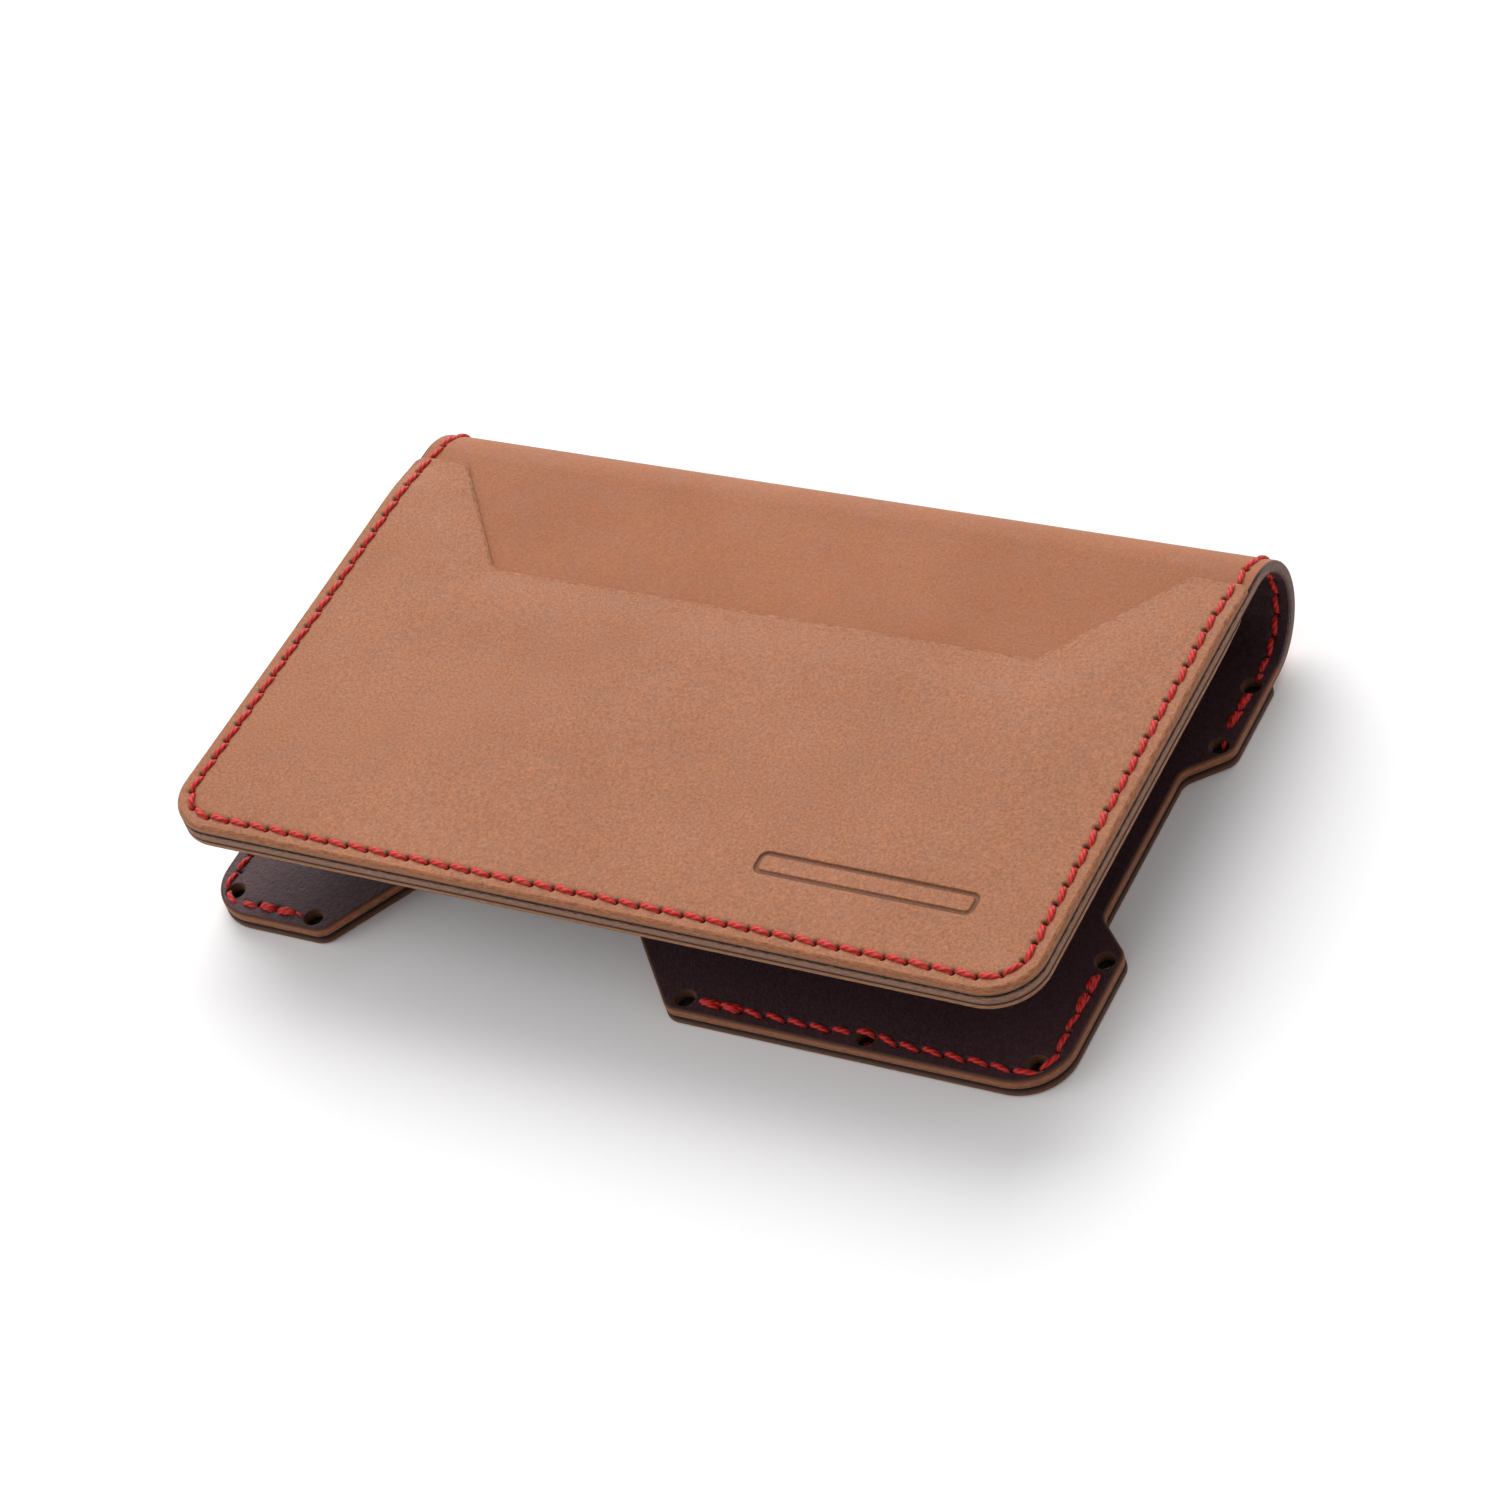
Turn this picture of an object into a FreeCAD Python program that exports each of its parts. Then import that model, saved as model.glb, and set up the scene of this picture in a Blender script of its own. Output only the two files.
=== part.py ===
import FreeCAD, Part
import math
import os

# Leather card holder, in millimetres. One long sheet of leather, the body, is folded once into a
# back leaf, a rounded spine and a front leaf. The back leaf lies flat on z = 0 with its outer face
# down, the front leaf lies above it, the spine is at +Y and the mouth at -Y. The origin is the
# middle of the back leaf's outer face.

# Leaves
LEAF_WIDTH = 106.5
LEAF_DEPTH = 61.2
CORNER_R = 6.0

# Thickness of each layer
BODY_T = 1.3
POCKET_T = 1.1
OUTER_T = 1.1
LINING_T = 0.6

# Stitching: distance from hole to hole, and the thread of one stitch
PITCH = 2.62
SEAM_MARGIN = 1.75
STITCH_LENGTH = 2.05
STITCH_WIDTH = 0.6
TACK_WIDTH = 1.0
STITCH_RISE = 0.3

# Spine: the fold bends at this many lines, one stitch apart
BENDS = 8
STRIP_GAP = 0.36

# Where each upper layer stops, measured back from the start of the spine's curve
POCKET_STOP = 1.3
LINING_STOP = 4.0
OUTER_STOP = 1.0
STOP_CORNER_R = 1.3

# Thumb cut-out in the front pocket
THUMB_TOP_WIDTH = 92.8
THUMB_FLOOR_WIDTH = 68.6
THUMB_DEPTH = 15.2
THUMB_FLOOR_R = 2.0
THUMB_LIP_R = 1.0

# Notches in the back leaf
SIDE_NOTCH_DEPTH = 4.4
SIDE_NOTCH_SLANT = 4.1
SIDE_NOTCH_LOW = 19.0
SIDE_NOTCH_HIGH = 48.4
MOUTH_NOTCH_LEFT = -36.9
MOUTH_NOTCH_RIGHT = 7.6
MOUTH_NOTCH_DEPTH = 12.0
MOUTH_NOTCH_LEFT_SLANT = 7.5
MOUTH_NOTCH_RIGHT_SLANT = 10.8
NOTCH_R = 2.0

# Screw holes in the back leaf
HOLE_R = 1.1
SPINE_HOLE_BACK = 3.3
UPPER_HOLE_BACK = 12.4
LOWER_HOLE_BACK = 43.6
MOUTH_HOLES_X = (-38.8, 9.2, 31.0)

# Seams of the back leaf
SEAM_END_BACK = 9.6
TAB_SEAM_TOP_BACK = 45.4
RIGHT_SEAM_START_X = 10.8
LEFT_SEAM_START_X = -41.2

# Worked out from the above
HALF_WIDTH = LEAF_WIDTH / 2
MOUTH_Y = -LEAF_DEPTH / 2
FOLD_Y = LEAF_DEPTH / 2
SPINE_R = BENDS * PITCH / math.pi
BEND_STEP = 180.0 / BENDS
SEAM_X = HALF_WIDTH - SEAM_MARGIN
SEAM_Y = MOUTH_Y + SEAM_MARGIN
SEAM_CORNER_R = CORNER_R - SEAM_MARGIN
BACK_BODY_Z = OUTER_T
BACK_INNER_Z = BACK_BODY_Z + BODY_T
SPINE_Z = BACK_BODY_Z + BODY_T / 2 + SPINE_R
FRONT_BODY_Z = SPINE_Z + SPINE_R - BODY_T / 2
FRONT_POCKET_Z = FRONT_BODY_Z + BODY_T
FRONT_TOP_Z = FRONT_POCKET_Z + POCKET_T
LINING_Z = FRONT_BODY_Z - LINING_T


def vec(x, y, z=0.0):
    return FreeCAD.Vector(x, y, z)


def rounded_face(corners, z):
    """Flat face at height z inside a polygon of (x, y, radius) corners, each rounded by its radius."""
    trimmed = []
    for index, (x, y, radius) in enumerate(corners):
        here = vec(x, y, z)
        before = vec(*corners[index - 1][:2], z)
        after = vec(*corners[(index + 1) % len(corners)][:2], z)
        to_before = (before - here).normalize()
        to_after = (after - here).normalize()
        half_angle = to_before.getAngle(to_after) / 2
        reach = radius / math.tan(half_angle)
        bisector = (to_before + to_after).normalize()
        middle = here + bisector * (radius / math.sin(half_angle) - radius)
        trimmed.append((here + to_before * reach, middle, here + to_after * reach))
    edges = []
    for index, (start, middle, end) in enumerate(trimmed):
        if start.distanceToPoint(end) > 1e-6:
            edges.append(Part.Arc(start, middle, end).toShape())
        next_start = trimmed[(index + 1) % len(trimmed)][0]
        edges.append(Part.LineSegment(end, next_start).toShape())
    return Part.Face(Part.Wire(edges))


def slab(corners, z, thickness):
    """Closed sheet of leather with the given outline, from z up by its thickness."""
    return rounded_face(corners, z).extrude(vec(0, 0, thickness))


def spine_sector(start_deg, end_deg):
    """Piece of the spine's curved sheet between two angles; 0 is at the back leaf, 180 at the front."""
    def point(radius, angle_deg):
        angle = math.radians(angle_deg)
        y = FOLD_Y + radius * math.sin(angle)
        z = SPINE_Z - radius * math.cos(angle)
        return vec(-HALF_WIDTH, y, z)

    middle_deg = (start_deg + end_deg) / 2
    outer_r = SPINE_R + BODY_T / 2
    inner_r = SPINE_R - BODY_T / 2
    outer_start, outer_middle, outer_end = [point(outer_r, a) for a in (start_deg, middle_deg, end_deg)]
    inner_start, inner_middle, inner_end = [point(inner_r, a) for a in (start_deg, middle_deg, end_deg)]
    edges = [
        Part.Arc(outer_start, outer_middle, outer_end).toShape(),
        Part.LineSegment(outer_end, inner_end).toShape(),
        Part.Arc(inner_end, inner_middle, inner_start).toShape(),
        Part.LineSegment(inner_start, outer_start).toShape(),
    ]
    return Part.Face(Part.Wire(edges)).extrude(vec(LEAF_WIDTH, 0))


def half_gap_deg():
    return math.degrees(STRIP_GAP / 2 / SPINE_R)


def mirrored(corners):
    """The same corners on the other side of x = 0, in the order that keeps the outline closed."""
    return [(-x, y, radius) for x, y, radius in reversed(corners)]


def back_outline(top_y, top_r):
    """Outline of the back leaf: a notch in each side, and a wide one in the mouth edge."""
    notch_x = HALF_WIDTH - SIDE_NOTCH_DEPTH
    low_y = MOUTH_Y + SIDE_NOTCH_LOW
    high_y = MOUTH_Y + SIDE_NOTCH_HIGH
    right_side = [
        (HALF_WIDTH, MOUTH_Y, CORNER_R),
        (HALF_WIDTH, low_y, NOTCH_R),
        (notch_x, low_y + SIDE_NOTCH_SLANT, NOTCH_R),
        (notch_x, high_y - SIDE_NOTCH_SLANT, NOTCH_R),
        (HALF_WIDTH, high_y, NOTCH_R),
        (HALF_WIDTH, top_y, top_r),
    ]
    notch_y = MOUTH_Y + MOUTH_NOTCH_DEPTH
    mouth_notch = [
        (MOUTH_NOTCH_LEFT, MOUTH_Y, NOTCH_R),
        (MOUTH_NOTCH_LEFT + MOUTH_NOTCH_LEFT_SLANT, notch_y, NOTCH_R),
        (MOUTH_NOTCH_RIGHT - MOUTH_NOTCH_RIGHT_SLANT, notch_y, NOTCH_R),
        (MOUTH_NOTCH_RIGHT, MOUTH_Y, NOTCH_R),
    ]
    return right_side + mirrored(right_side) + mouth_notch


def front_outline(top_y, top_r):
    """Outline of the front leaf: square at the fold, large round corners at the mouth."""
    return [
        (HALF_WIDTH, MOUTH_Y, CORNER_R),
        (HALF_WIDTH, top_y, top_r),
        (-HALF_WIDTH, top_y, top_r),
        (-HALF_WIDTH, MOUTH_Y, CORNER_R),
    ]


def pocket_outline():
    """Front leaf outline with the tapered thumb cut-out in its fold edge."""
    top_y = FOLD_Y - POCKET_STOP
    floor_y = top_y - THUMB_DEPTH
    right_half = [
        (HALF_WIDTH, MOUTH_Y, CORNER_R),
        (HALF_WIDTH, top_y, STOP_CORNER_R),
        (THUMB_TOP_WIDTH / 2, top_y, THUMB_LIP_R),
        (THUMB_FLOOR_WIDTH / 2, floor_y, THUMB_FLOOR_R),
    ]
    return right_half + mirrored(right_half)


def screw_holes():
    """Every screw hole of the back leaf, as cylinders that pass right through it."""
    corner = SEAM_CORNER_R * (1 - math.sqrt(0.5))
    centres = [(x, SEAM_Y) for x in MOUTH_HOLES_X]
    for side in (-1, 1):
        centres.append((side * (SEAM_X - corner), SEAM_Y + corner))
        for back in (SPINE_HOLE_BACK, UPPER_HOLE_BACK, LOWER_HOLE_BACK):
            centres.append((side * SEAM_X, FOLD_Y - back))
    length = BACK_INNER_Z + 2.0
    return [Part.makeCylinder(HOLE_R, length, vec(x, y, -1.0)) for x, y in centres]


def stitch(start, end, width, height):
    """Thread of one stitch between two needle holes: a flat bar with round ends, raised by height."""
    along = (end - start).normalize()
    across = vec(-along.y, along.x) * (width / 2)
    middle = (start + end) * 0.5
    reach = along * ((STITCH_LENGTH - width) / 2)
    nose = along * (width / 2)
    first = middle - reach
    last = middle + reach
    edges = [
        Part.LineSegment(first - across, last - across).toShape(),
        Part.Arc(last - across, last + nose, last + across).toShape(),
        Part.LineSegment(last + across, first + across).toShape(),
        Part.Arc(first + across, first - nose, first - across).toShape(),
    ]
    return Part.Face(Part.Wire(edges)).extrude(vec(0, 0, height))


def needle_holes(path, count):
    """Points that divide a path of edges into count equal stitches."""
    return Part.Wire(path).discretize(Number=count + 1)


def seam_corner(side):
    """Quarter turn of the seam round a mouth corner, from the mouth line to the side line."""
    centre = vec(side * (SEAM_X - SEAM_CORNER_R), SEAM_Y + SEAM_CORNER_R)
    diagonal = SEAM_CORNER_R * math.sqrt(0.5)
    start = vec(centre.x, SEAM_Y)
    middle = centre + vec(side * diagonal, -diagonal)
    end = vec(side * SEAM_X, centre.y)
    return start, middle, end


def side_and_mouth_path():
    """Seam of the front leaf: down one side, along the mouth and up the other side."""
    left_start, left_middle, left_end = seam_corner(-1)
    right_start, right_middle, right_end = seam_corner(1)
    return [
        Part.LineSegment(vec(-SEAM_X, FOLD_Y + PITCH / 2), left_end).toShape(),
        Part.Arc(left_end, left_middle, left_start).toShape(),
        Part.LineSegment(left_start, right_start).toShape(),
        Part.Arc(right_start, right_middle, right_end).toShape(),
        Part.LineSegment(right_end, vec(SEAM_X, FOLD_Y + PITCH / 2)).toShape(),
    ]


def tab_path(side, start_x):
    """Seam of one mouth corner of the back leaf, from the mouth notch to below the side notch."""
    start, middle, end = seam_corner(side)
    return [
        Part.LineSegment(vec(start_x, SEAM_Y), start).toShape(),
        Part.Arc(start, middle, end).toShape(),
        Part.LineSegment(end, vec(side * SEAM_X, FOLD_Y - TAB_SEAM_TOP_BACK)).toShape(),
    ]


def row_of_stitches(holes, level, height, tacked):
    """Stitches between neighbouring needle holes; level gives the leather's height at a given y."""
    last = len(holes) - 2
    stitches = []
    for index in range(last + 1):
        is_tack = tacked and index in (0, 1, last - 1, last)
        width = TACK_WIDTH if is_tack else STITCH_WIDTH
        z = level((holes[index].y + holes[index + 1].y) / 2)
        start = vec(holes[index].x, holes[index].y, z)
        end = vec(holes[index + 1].x, holes[index + 1].y, z)
        stitches.append(stitch(start, end, width, height))
    return stitches


def without_screw_holes(solids):
    return Part.makeCompound(solids).cut(Part.makeCompound(screw_holes()))


def inner_sagitta():
    """How far a straight stitch stands off the hollow inner face of the spine at its middle."""
    inner_r = SPINE_R - BODY_T / 2
    return inner_r - math.sqrt(inner_r ** 2 - (STITCH_LENGTH / 2) ** 2)


def front_seam_level(upper, lower, stop_back):
    """Height of the leather under the front seam: on the added layer, or on the body near the fold."""
    def level(y):
        return upper if y < FOLD_Y - stop_back else lower
    return level


def lifted_on_fold(level, lift):
    """The same heights, but moved by lift for the stitch that lies half on the hollow of the spine."""
    def lifted(y):
        return level(y) + lift if y > FOLD_Y - PITCH / 2 else level(y)
    return lifted


def front_seam():
    """Both threads of the long seam, where it holds the front leaf together."""
    path = side_and_mouth_path()
    length = sum(edge.Length for edge in path)
    holes = needle_holes(path, round(length / PITCH))
    outer_level = front_seam_level(FRONT_TOP_Z, FRONT_POCKET_Z, POCKET_STOP)
    flat_level = front_seam_level(LINING_Z, FRONT_BODY_Z, LINING_STOP)
    inner_level = lifted_on_fold(flat_level, -inner_sagitta())
    return {
        "front_seam_outer": Part.makeCompound(row_of_stitches(holes, outer_level, STITCH_RISE, False)),
        "front_seam_inner": Part.makeCompound(row_of_stitches(holes, inner_level, -STITCH_RISE, False)),
    }


def tab_seams():
    """Threads of the two seams at the mouth corners of the back leaf."""
    seams = {}
    for name, side, start_x in (("left", -1, LEFT_SEAM_START_X), ("right", 1, RIGHT_SEAM_START_X)):
        path = tab_path(side, start_x)
        length = sum(edge.Length for edge in path)
        holes = needle_holes(path, round(length / PITCH))
        inner = row_of_stitches(holes, lambda y: BACK_INNER_Z, STITCH_RISE, True)
        outer = row_of_stitches(holes, lambda y: 0.0, STITCH_RISE, True)
        seams["back_" + name + "_seam_inner"] = without_screw_holes(inner)
        seams["back_" + name + "_seam_outer"] = without_screw_holes(outer)
    return seams


def seam_ends():
    """Threads where the long seam runs off the spine and ends on the back leaf, on both sides."""
    inner = []
    outer = []
    for side in (-1, 1):
        x = side * SEAM_X
        on_fold = (vec(x, FOLD_Y + PITCH / 2), vec(x, FOLD_Y - PITCH / 2))
        tack_start = FOLD_Y - SEAM_END_BACK + 2 * PITCH
        tacks = [vec(x, tack_start - index * PITCH) for index in range(3)]
        inner_level = lifted_on_fold(lambda y: BACK_INNER_Z, inner_sagitta())
        inner += row_of_stitches(on_fold, inner_level, STITCH_RISE, False)
        outer += row_of_stitches(on_fold, lambda y: BACK_BODY_Z, -STITCH_RISE, False)
        inner += row_of_stitches(tacks, lambda y: BACK_INNER_Z, STITCH_RISE, True)
        outer += row_of_stitches(tacks, lambda y: 0.0, STITCH_RISE, True)
    return {
        "back_end_seam_inner": without_screw_holes(inner),
        "back_end_seam_outer": without_screw_holes(outer),
    }


def spine_stitches(angle_deg):
    """The stitches on one strip of the spine, on both sides and both faces, centred on its angle."""
    bars = []
    for side in (-1, 1):
        start = vec(side * SEAM_X, -PITCH / 2)
        end = vec(side * SEAM_X, PITCH / 2)
        outer = stitch(start, end, STITCH_WIDTH, -STITCH_RISE)
        outer.translate(vec(0, 0, -SPINE_R - BODY_T / 2))
        inner = stitch(start, end, STITCH_WIDTH, STITCH_RISE)
        sagitta = inner_sagitta()
        inner.translate(vec(0, 0, -SPINE_R + BODY_T / 2 + sagitta))
        bars += [outer, inner]
    compound = Part.makeCompound(bars)
    compound.rotate(vec(0, 0), vec(1, 0), angle_deg)
    compound.translate(vec(0, FOLD_Y, SPINE_Z))
    return compound


def spine_strips():
    """The strips of leather between the bend lines, each with its own stitches."""
    nodes = {}
    for index in range(1, BENDS):
        middle = index * BEND_STEP
        start = middle - BEND_STEP / 2 + half_gap_deg()
        end = middle + BEND_STEP / 2 - half_gap_deg()
        nodes["spine_strip_%d" % index] = spine_sector(start, end)
        nodes["spine_seam_%d" % index] = spine_stitches(middle)
    return nodes


def back_leaf(holes, threads):
    """Body and outer panel of the back leaf; the outer panel's thread lies in grooves in its face."""
    root_end = BEND_STEP / 2 - half_gap_deg()
    flat = slab(back_outline(FOLD_Y, 0.0), BACK_BODY_Z, BODY_T)
    body = flat.fuse(spine_sector(0.0, root_end)).removeSplitter()
    outer = slab(back_outline(FOLD_Y - OUTER_STOP, STOP_CORNER_R), 0.0, OUTER_T)
    grooves = [thread for thread in threads if thread.BoundBox.ZMin < STITCH_RISE]
    return {
        "back_body": body.cut(Part.makeCompound(holes)),
        "back_outer_panel": outer.cut(Part.makeCompound(holes)).cut(Part.makeCompound(grooves)),
    }


def front_leaf():
    """Body, thumb pocket and lining of the front leaf."""
    tip_start = 180.0 - BEND_STEP / 2 + half_gap_deg()
    flat = slab(front_outline(FOLD_Y, 0.0), FRONT_BODY_Z, BODY_T)
    return {
        "front_body": flat.fuse(spine_sector(tip_start, 180.0)).removeSplitter(),
        "front_pocket": slab(pocket_outline(), FRONT_POCKET_Z, POCKET_T),
        "front_lining": slab(front_outline(FOLD_Y - LINING_STOP, STOP_CORNER_R), LINING_Z, LINING_T),
    }


def build():
    nodes = {}
    nodes.update(front_seam())
    nodes.update(tab_seams())
    nodes.update(seam_ends())
    back_threads = []
    for name in ("back_left_seam_outer", "back_right_seam_outer", "back_end_seam_outer"):
        back_threads += nodes[name].Solids
    nodes.update(back_leaf(screw_holes(), back_threads))
    nodes.update(front_leaf())
    nodes.update(spine_strips())
    return nodes


def export(nodes):
    os.makedirs("parts", exist_ok=True)
    for name, shape in nodes.items():
        bad = [solid for solid in shape.Solids if not solid.isValid() or solid.Volume <= 0]
        if bad or not shape.Solids:
            raise RuntimeError(name + " has a bad solid")
        shape.exportStep("parts/" + name + ".step")
        box = shape.BoundBox
        summary = (name, len(shape.Solids), shape.Volume, box.ZMin, box.ZMax)
        print("%-24s %3d solids %9.3f mm3  z %7.3f to %7.3f" % summary)


export(build())
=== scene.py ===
"""Folded leather card holder: layers of leather, punched holes, machine seams and a small studio.

Everything is worked out in millimetres and turned to metres when a piece is finished.
"""

import functools
import math
import random

import bmesh
import bpy
from mathutils import Matrix, Vector
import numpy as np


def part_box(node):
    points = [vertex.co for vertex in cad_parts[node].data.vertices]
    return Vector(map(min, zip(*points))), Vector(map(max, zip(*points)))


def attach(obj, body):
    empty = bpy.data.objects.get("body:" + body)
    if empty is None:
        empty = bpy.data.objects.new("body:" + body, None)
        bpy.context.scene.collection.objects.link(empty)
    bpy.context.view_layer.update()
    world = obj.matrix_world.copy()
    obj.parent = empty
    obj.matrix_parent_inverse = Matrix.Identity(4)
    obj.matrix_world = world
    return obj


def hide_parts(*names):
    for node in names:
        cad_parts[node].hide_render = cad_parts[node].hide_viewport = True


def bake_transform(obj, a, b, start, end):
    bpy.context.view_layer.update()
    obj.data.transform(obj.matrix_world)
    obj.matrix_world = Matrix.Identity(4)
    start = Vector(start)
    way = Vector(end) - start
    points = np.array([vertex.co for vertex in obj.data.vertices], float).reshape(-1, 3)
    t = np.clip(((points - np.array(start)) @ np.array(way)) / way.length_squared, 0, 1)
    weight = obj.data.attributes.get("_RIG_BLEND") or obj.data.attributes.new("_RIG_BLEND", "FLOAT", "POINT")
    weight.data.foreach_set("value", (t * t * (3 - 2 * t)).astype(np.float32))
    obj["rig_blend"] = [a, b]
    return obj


bl_info = {
    "name": "Leather card holder",
    "version": (1, 0, 0),
    "blender": (4, 5, 0),
    "location": "View3D > Sidebar > Card holder",
    "description": "Builds a folded leather card holder with its seams, and a studio round it",
    "category": "Add Mesh",
}

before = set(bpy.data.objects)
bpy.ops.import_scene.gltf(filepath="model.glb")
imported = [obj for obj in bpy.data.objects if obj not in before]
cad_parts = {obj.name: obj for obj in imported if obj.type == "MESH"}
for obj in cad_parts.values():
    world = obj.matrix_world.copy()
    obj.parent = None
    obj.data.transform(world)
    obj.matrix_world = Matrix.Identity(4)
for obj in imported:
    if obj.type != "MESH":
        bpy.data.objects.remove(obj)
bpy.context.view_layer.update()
MM = 0.001


def box_mm(node):
    """Lowest and highest corner of a node of the frame, in millimetres."""
    low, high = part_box(node)
    return low / MM, high / MM


# Leaves
POCKET_LOW, POCKET_HIGH = box_mm("front_pocket")
LINING_LOW, LINING_HIGH = box_mm("front_lining")
PANEL_LOW, PANEL_HIGH = box_mm("back_outer_panel")
HALF_WIDTH = POCKET_HIGH.x
MOUTH_Y = POCKET_LOW.y
POCKET_TOP_Y = POCKET_HIGH.y
LINING_TOP_Y = LINING_HIGH.y
PANEL_TOP_Y = PANEL_HIGH.y
FOLD_Y = PANEL_TOP_Y + 1.0
CORNER_R = 6.0
STOP_CORNER_R = 1.3
BACK_BODY_Z = PANEL_HIGH.z
FRONT_BODY_Z = LINING_HIGH.z
FRONT_POCKET_Z = POCKET_LOW.z
BODY_T = FRONT_POCKET_Z - FRONT_BODY_Z
BACK_INNER_Z = BACK_BODY_Z + BODY_T

# Spine: bend lines one stitch apart, counted from the back leaf to the front leaf
BENDS = 8
PITCH = 2.62
SPINE_R = BENDS * PITCH / math.pi
SPINE_Z = BACK_BODY_Z + BODY_T / 2 + SPINE_R

# Thumb cut-out in the pocket, and how the pocket thins towards its upper edge
THUMB_TOP_X = 46.4
THUMB_FLOOR_X = 34.3
THUMB_DEPTH = 15.2
THUMB_FLOOR_R = 2.0
THUMB_LIP_R = 1.0
SKIVE_WIDTH = 7.0

# Notches and screw holes of the back leaf
SIDE_NOTCH_DEPTH = 4.4
SIDE_NOTCH_SLANT = 4.1
SIDE_NOTCH_LOW = 19.0
SIDE_NOTCH_HIGH = 48.4
MOUTH_NOTCH = ((-36.9, 0.0), (-29.4, 12.0), (-3.2, 12.0), (7.6, 0.0))
NOTCH_R = 2.0
HOLE_R = 1.1
HOLE_RIM_R = 0.16
HOLES_BACK_FROM_FOLD = (3.3, 12.4, 43.6)
MOUTH_HOLES_X = (-38.8, 9.2, 31.0)

# Seams
SEAM_MARGIN = 1.75
SEAM_X = HALF_WIDTH - SEAM_MARGIN
SEAM_Y = MOUTH_Y + SEAM_MARGIN
SEAM_CORNER_R = CORNER_R - SEAM_MARGIN
FRONT_STITCHES = 84
FRONT_SLANT_TURN = 156.0
SLANT_TURN_LENGTH = 10.0
TAB_SEAM_TOP_Y = FOLD_Y - 45.4
RIGHT_SEAM_START_X = 10.8
RIGHT_CORNER_HOLE = 39.8
LEFT_SEAM_START_X = -41.2
LEFT_CORNER_HOLE = 9.4
DETOUR_REACH = 2.5
TACK_START_BACK = 4.36
SEAM_END_BACK = 9.6
LOOSE_END_RIGHT = (12.5, 13.7)
LOOSE_END_LEFT = (-1.3, 0.3)
HOLE_CLEARANCE = 1.45

# Grid of the leather along a seam, from the seam line and from each needle hole
BAND_ROWS = (-0.95, -0.8, -0.6, -0.43, -0.3, -0.2, -0.1, 0.0, 0.1, 0.2, 0.3, 0.43, 0.6, 0.8, 0.95)
BAND_RIM = 0.15
BAND_COLUMNS = (-1.0, -0.72, -0.5, -0.36, -0.25, -0.16, -0.08, 0.0, 0.08, 0.16, 0.25, 0.36, 0.5, 0.72, 1.0)
PIT_LENGTH = 0.27
PIT_WIDTH = 0.36
PIT_SHIFT = 0.16
HALO_LENGTH = 0.6
HALO_WIDTH = 0.55
GROOVE_WIDTH = 0.38
PANEL_GROOVE_DEPTH = 0.34
LINING_PIT_DEPTH = 0.3
LINING_ROUND = 0.12

# Stitches: places of a stitch's sections along it, and how deep the threads under the panel lie
STITCH_SECTIONS = (0.0, 0.07, 0.18, 0.36, 0.64, 0.82, 0.93, 1.0)
THREAD_SIDES = 8
UNDER_LIFT = -0.33

# Blank mark pressed into the pocket: opposite corners, and rings of (width, depth, darkness); the darkness
# is the pressed leather's own darkening and painted shade in the groove
MARK_LOW = (17.6, -21.9)
MARK_HIGH = (43.6, -18.5)
MARK_CORNER_R = 1.15
MARK_STEPS = ((0.1, 0.0, 0.0), (0.13, 0.2, 0.6), (0.4, 0.2, 0.42), (0.13, 0.02, 0.0), (0.1, 0.02, 0.0))

# Mesh: widths of the net on each kind of sheet, and the length below which an edge is dropped
BACK_CELL, FRONT_CELL, POCKET_CELL = 6.0, 4.0, 2.0
HOLE_SIDES = 28
SPINE_ROWS = 30
MANY_SIDES = 24
SLIVER = 0.001
CREASE_ANGLE = math.radians(48.0)
NEVER = 1e9

# Studio: height of the floor in metres, just clear of the leather
FLOOR_Z = -0.00005

# Camera: place in millimetres, and the directions to the right and up in its picture
CAMERA_PLACE = (238.7, -270.5, 345.4)
CAMERA_RIGHT = (0.86412, 0.43631, -0.25086)
CAMERA_UP = (-0.16027, 0.71106, 0.68462)

# Places of the materials on a sheet, and of faces that have none yet
OUTER_FACE, INNER_FACE, CUT_EDGE, NEW_FACE = 0, 1, 2, 7


def srgb(code):
    """Linear colour with alpha from a hex code such as B57D61."""
    channels = [int(code[i:i + 2], 16) / 255 for i in (0, 2, 4)]
    linear = [c / 12.92 if c <= 0.04045 else ((c + 0.055) / 1.055) ** 2.4 for c in channels]
    return (*linear, 1.0)


def smooth_step(value):
    value = min(1.0, max(0.0, value))
    return value * value * (3 - 2 * value)


# ---- settings


def length(name, description, default, low, high):
    """Property for a length, given here in millimetres."""
    return bpy.props.FloatProperty(name=name, description=description, default=default * MM,
                                   min=low * MM, max=high * MM, unit="LENGTH", precision=5)


def tint(name, description, code):
    """Property for a colour, given here as a hex code."""
    return bpy.props.FloatVectorProperty(name=name, description=description, default=srgb(code),
                                         min=0.0, max=1.0, subtype="COLOR", size=4)


class HolderSizes(bpy.types.PropertyGroup):
    edge_round: length("Edge rounding", "Radius left on a sheet's cut edges", 0.3, 0.05, 0.5)
    pocket_round: length(
        "Pocket edge rounding", "Radius of the rubbed upper edge of the pocket", 0.4, 0.05, 0.5)
    lip_thickness: length(
        "Pocket lip", "Thickness of the pocket where it is thinned at the cut-out", 0.42, 0.2, 1.1)
    wave: length("Leaf wave", "How far the front leaf is from flat, as worn leather is", 0.12, 0.0, 0.5)


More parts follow.
